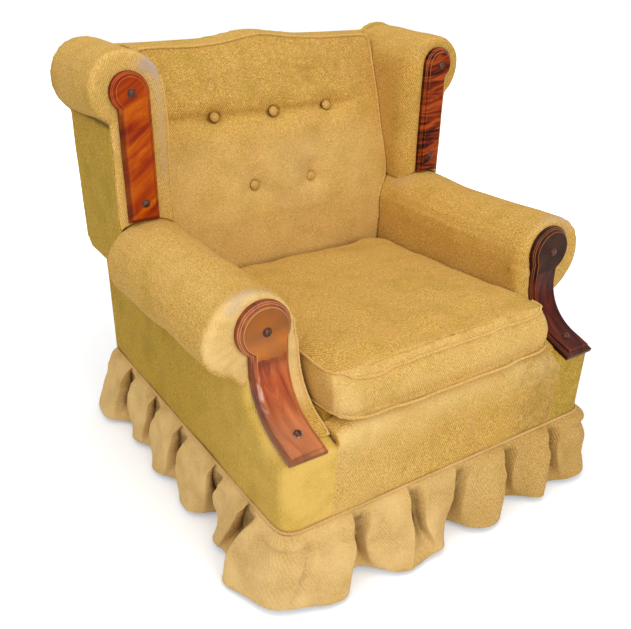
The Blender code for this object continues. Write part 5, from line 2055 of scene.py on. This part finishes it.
    def welt_path(self) -> list[Triple]:
        """The seam above the skirt, once round and closed.

        Returns:
            Points one after another.
        """
        points, ways, lengths = self.base_line()
        path = []
        for s in np.arange(0.0, lengths[-1], 0.010):
            x, y = (np.interp(s, lengths, points[:, k]) for k in (0, 1))
            nx, ny = (np.interp(s, lengths, ways[:, k]) for k in (0, 1))
            path.append((float(x + nx * 0.0022), float(y + ny * 0.0022), self.top_z + 0.0022))
        return path


# Studio


def seen_by(tree: Tree, *kinds: str) -> Socket:
    """Gives one where a ray is of any of these kinds, such as "Camera", and zero elsewhere.

    Args:
        tree: the node tree.
        kinds: kinds of ray, such as "Camera".

    Returns:
        Socket that is one where a ray is of such a kind, and zero elsewhere.
    """
    path = add_node(tree, "ShaderNodeLightPath")
    sight, *others = [path.outputs[f"Is {kind} Ray"] for kind in kinds]
    for other in others:
        sight = add_node(
            tree, "ShaderNodeMath", {0: sight, 1: other}, operation="MAXIMUM",
        ).outputs["Value"]
    return sight


@dataclass
class Studio:
    """Plain pale floor, soft light and the camera."""

    turn: Triple = (-33.3866, 28.0282, 0.8839)  # yaw, pitch and roll, degrees
    stand: Triple = (-0.92964, -1.27837, 1.10952)
    lens: float = 42.458
    image_width: int = 631
    off_centre: Pair = (10.459, 23.020)  # pixels by which the picture was trimmed
    # each soft box's name, place, side in metres and watts
    boxes: tuple[tuple[str, Triple, float, float], ...] = (
        ("key", (-0.3, -3.1, 1.9), 1.6, 40.0),
        ("side", (-3.0, -0.8, 2.6), 2.4, 22.0),
        ("top", (-0.3, -0.2, 3.2), 2.0, 26.0),
    )

    def camera(self) -> None:
        """Sets the camera where the chair is seen as in the photograph."""
        yaw, pitch, roll = (math.radians(angle) for angle in self.turn)
        level = math.cos(pitch)
        back = Vector((math.sin(yaw) * level, -math.cos(yaw) * level, math.sin(pitch)))
        right = Vector((0, 0, 1)).cross(back).normalized()
        up = back.cross(right)
        across = right * math.cos(roll) + up * math.sin(roll)
        above = up * math.cos(roll) - right * math.sin(roll)
        data = bpy.data.cameras.new("camera")
        camera = add_object("camera", data)
        matrix = Matrix((across, above, back)).transposed().to_4x4()
        matrix.translation = Vector(self.stand)
        camera.matrix_world = matrix
        data.sensor_width = 36.0
        data.lens = self.lens
        data.shift_x, data.shift_y = (pixels / self.image_width for pixels in self.off_centre)
        data.clip_start = 0.05
        bpy.context.scene.camera = camera

    def light(self, name: str, place: Triple, size: float, power: float) -> None:
        """Adds a soft box aimed at the chair.

        Args:
            name: its name.
            place: where it stands.
            size: its side in metres.
            power: watts.
        """
        data = bpy.data.lights.new(name, "AREA")
        data.shape = "SQUARE"
        data.size = size
        data.energy = power
        lamp = add_object(name, data)
        lamp.location = place
        aim = Vector((0, 0, 0.4)) - Vector(place)
        lamp.rotation_euler = aim.to_track_quat("-Z", "Y").to_euler()

    def floor(self) -> None:
        """Adds the pale floor."""
        bpy.ops.object.select_all(action="DESELECT")
        bpy.ops.mesh.primitive_grid_add(x_subdivisions=4, y_subdivisions=4, size=14.0)
        floor = bpy.context.object
        floor.name = "studio_floor"
        material, tree, shader = start_material("pale_paper_floor")
        spot = add_node(tree, "ShaderNodeTexCoord").outputs["Object"]
        away = add_node(tree, "ShaderNodeVectorMath", {0: spot}, operation="LENGTH")
        white = add_node(
            tree, "ShaderNodeMapRange",
            {
                "Value": away.outputs["Value"], "From Min": 0.9, "From Max": 2.2, "To Min": 0.27,
                "To Max": 1.0
            },
        )
        glow = add_node(
            tree, "ShaderNodeMath",
            {0: seen_by(tree, "Camera", "Glossy"), 1: white.outputs["Result"]}, operation="MULTIPLY",
        ).outputs["Value"]
        feed(tree, shader, {
            "Base Color": linear("#f2f4f6"), "Roughness": 0.9, "Specular IOR Level": 0.1,
            "Emission Color": linear("#ffffff"), "Emission Strength": glow,
        })
        floor.data.materials.append(material)

    def world(self) -> None:
        """Sets a plain world that looks white behind the chair."""
        world = bpy.data.worlds.new("studio_world")
        bpy.context.scene.world = world
        world.use_nodes = True
        tree = world.node_tree
        tree.nodes.clear()
        fill = add_node(tree, "ShaderNodeBackground", {"Color": linear("#ffffff"), "Strength": 0.62})
        seen = add_node(tree, "ShaderNodeBackground", {"Color": linear("#ffffff"), "Strength": 1.0})
        mixed = add_node(
            tree, "ShaderNodeMixShader",
            {
                0: seen_by(tree, "Camera", "Glossy", "Transmission"),
                1: fill.outputs["Background"], 2: seen.outputs["Background"],
            },
        )
        add_node(tree, "ShaderNodeOutputWorld", {"Surface": mixed.outputs["Shader"]})

    def build(self) -> None:
        """Sets up the whole studio."""
        bpy.context.scene.view_settings.view_transform = "Standard"
        self.world()
        self.floor()
        self.camera()
        for name, place, size, power in self.boxes:
            self.light(name, place, size, power)


# The chair


@dataclass(frozen=True)
class SideWearAndLight:
    """How age, painted light and painted shade show on one side of the chair."""

    sag: float  # depth of the hollow in the arm, metres
    # how much paler the cloth is drawn: sun fade and painted light
    arm_fade_and_light: float
    wing_fade_and_light: float
    panel_fade_and_light: float
    glow: float  # as in Panel
    # painted shade: how much darker the fronts are drawn
    dull: float
    worn: float  # how far hands have taken the varnish off the arm's disc
    chafed_and_lit: float  # how far the arm's strip is scratched, and how much painted sheen it takes
    # the shaded side takes darker copies of the woods, as painted shade
    arm_wood: VarnishedMahogany
    wing_wood: VarnishedMahogany


# the left stood by the window and is drawn with painted light; the right is drawn with painted shade
WEAR_AND_LIGHT = {
    Side.LEFT: SideWearAndLight(
        sag=0.002, arm_fade_and_light=1.0, wing_fade_and_light=0.3, panel_fade_and_light=0.75, glow=0.45, dull=0.0,
        worn=1.0, chafed_and_lit=0.5, arm_wood=ARM_WOOD, wing_wood=WING_WOOD,
    ),
    Side.RIGHT: SideWearAndLight(
        sag=0.008, arm_fade_and_light=0.1, wing_fade_and_light=0.0, panel_fade_and_light=0.15, glow=0.0, dull=0.36,
        worn=0.85, chafed_and_lit=0.0, arm_wood=SHADED_ARM_WOOD, wing_wood=SHADED_WING_WOOD,
    ),
}


@dataclass
class Chair:
    """All of the chair's pieces, in the order in which they are made."""

    studio: Studio = field(default_factory=Studio)
    finish: dict[str, Material] = field(default_factory=dict)

    def make_finishes(self) -> None:
        """Makes every finish once."""
        finishes = (
            TWEED, SHADED_SIDE_TWEED, SKIRT_TWEED, WING_WOOD, SHADED_WING_WOOD, ARM_WOOD, SHADED_ARM_WOOD,
            SCREW, SCREW_RIM, DARK_RIM, SAWN_BEECH, DRAWN_STEEL, JUTE, CAMBRIC,
        )
        self.finish = {finish.name: finish.make() for finish in finishes}

    def dress_frame(self) -> None:
        """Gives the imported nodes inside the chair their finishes."""
        made_of = {
            "webbing": JUTE, "spring": DRAWN_STEEL, "dust_cover": CAMBRIC, "deck": SHADED_SIDE_TWEED,
        }
        for name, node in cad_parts.items():
            finish = SAWN_BEECH
            for key, other in made_of.items():
                if key in name:
                    finish = other
            node.data.materials.clear()
            node.data.materials.append(self.finish[finish.name])

    def build_side(self, side: Side) -> None:
        """Makes one side's padding, panels, facings and screws.

        Args:
            side: which side of the chair.
        """
        label, sign, wear = side.label, int(side), WEAR_AND_LIGHT[side]
        tweed, outside = self.finish[TWEED.name], self.finish[SHADED_SIDE_TWEED.name]
        arm_pad = ArmPad("arm_pad_" + label, side=sign, sag=wear.sag, fade_and_light=wear.arm_fade_and_light).build(tweed)
        wing_pad = WingPad("wing_pad_" + label, side=sign, fade_and_light=wear.wing_fade_and_light).build(tweed)
        Panel(
            "outside_arm_" + label, seed=7 + sign, fade_and_light=wear.panel_fade_and_light, roll_z=0.404, lift=0.028,
            glow=wear.glow, dull=wear.dull,
        ).build(outside)
        Panel("outside_wing_" + label, seed=12 + sign, roll_z=0.768, lift=0.014).build(outside)
        if side is Side.LEFT:
            edge = [(-0.2865, *ARM_CURVE.spot(s, 0.0125)) for s in np.linspace(0.0, 0.225, 50)]
            Welt("arm_welt_left", edge, radius=0.0024, proud=0.1, faded_and_lit=0.8).build(arm_pad, tweed)
            edge = [(-0.3205, 0.170, z) for z in np.linspace(0.60, 0.875, 50)]
            Welt("wing_welt_left", edge, radius=0.0022, proud=0.1, faded_and_lit=0.5).build(wing_pad, tweed)
        Facing(
            "arm_facing_" + label, sign, disc_x=0.362, disc_radius=0.055, strip=(0.313, 0.392),
            foot=ARM_CURVE.length, place=ARM_CURVE.spot, worn=wear.worn, chafed_and_lit=wear.chafed_and_lit,
        ).build(self.finish[wear.arm_wood.name])
        Facing(
            "wing_facing_" + label, sign, disc_x=0.3975, disc_radius=0.0405,
            strip=(0.3565, 0.4235), foot=0.261, place=wing_face, worn=0.0,
        ).build(self.finish[wear.wing_wood.name])
        self.build_screws(label, sign)

    def build_screws(self, label: str, sign: int) -> None:
        """Makes the four screws of one side.

        Args:
            label: the side's name.
            sign: the side's sign of X.
        """
        upright, arm_lower, wing_lower = math.pi / 2, 0.205, 0.221
        lean = ARM_CURVE.lean(arm_lower)
        rows = (
            ("arm_screw_upper_", (0.362, *ARM_CURVE.spot(0.0, 0.0)), upright),
            ("arm_screw_lower_", (0.3505, *ARM_CURVE.spot(arm_lower, -0.0006)), upright - lean),
            ("wing_screw_upper_", (0.3975, *wing_face(0.0, 0.0)), upright),
            ("wing_screw_lower_", (0.38825, *wing_face(wing_lower, 0.0)), upright),
        )
        for name, (x, y, z), tilt in rows:
            screw = FacingScrew(name + label, (x * sign, y, z), tilt)
            bright = sign < 0 and name == "arm_screw_lower_"
            screw.build(self.finish[SCREW.name], self.finish[(SCREW_RIM if bright else DARK_RIM).name])

    def build_back(self) -> None:
        """Makes the buttoned back, its welts and the outside back."""
        tweed = self.finish[TWEED.name]
        back = BackPad("back_pad", fade_and_light=0.0).build(tweed)
        for (x, z), name in zip(
            BUTTON_PLACES, ("upper_left", "upper_middle", "upper_right", "lower_left", "lower_right")
        ):
            BackButton("button_" + name, x, z).build(tweed)
        seam = []
        for z in np.linspace(0.46, 0.895, 60):
            lift = min(1.0, max(0.0, (z - 0.492) / 0.093))
            half = min(0.380 - 0.097 * math.sqrt(1 - lift ** 2), 0.317) - 0.004
            seam.append((half, recline(z) - 0.001, z))
        top = [(x, recline(crest(x)) - 0.001, crest(x) - 0.002) for x in np.linspace(0.308, -0.308, 90)]
        path = seam + top + [(-x, y, z) for x, y, z in reversed(seam)]
        Welt("back_welt", path).build(back, tweed)
        Panel("outside_back", voxel=0.005, seed=17).build(self.finish[SHADED_SIDE_TWEED.name])

    def build_seat(self) -> None:
        """Makes the cushion, its welts and the border under it."""
        tweed = self.finish[TWEED.name]
        Border("front_border", seed=23, swell=0.001, fade_and_light=0.08, dull=0.42).build(tweed)
        shape = SeatCushion("seat_cushion", voxel=0.006, rounding=3, fill=0.45)
        cushion = shape.build(tweed)
        seams = (("top", 0.4545, 0.424, 0.0, 0.012, -0.34), ("bottom", 0.366, 0.330, 0.004, 0.0, 0.05))
        for name, z_front, z_rear, inset, rise, end in seams:
            path = shape.seam(z_front, z_rear, inset, rise, end)
            welt = Welt("cushion_welt_" + name, path, radius=0.0030, proud=0.3, faded_and_lit=0.40)
            welt.build(cushion, tweed)

    def build(self) -> None:
        """Builds the whole scene."""
        self.make_finishes()
        self.dress_frame()
        for side in Side:
            self.build_side(side)
        self.build_back()
        self.build_seat()
        skirt = PleatedSkirt()
        skirt.build(self.finish[SKIRT_TWEED.name])
        welt = Welt("skirt_welt", skirt.welt_path(), radius=0.0032, closed=True, rubbed=0.30, faded_and_lit=0.6)
        welt.build(None, self.finish[SKIRT_TWEED.name], "skirt_tweed")
        self.studio.build()


def write_sizes() -> None:
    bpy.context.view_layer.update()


def main() -> None:
    """Builds the chair."""
    logging.basicConfig(level=logging.INFO, format="%(message)s")
    Chair().build()
    write_sizes()


if __name__ == "__main__":
    main()
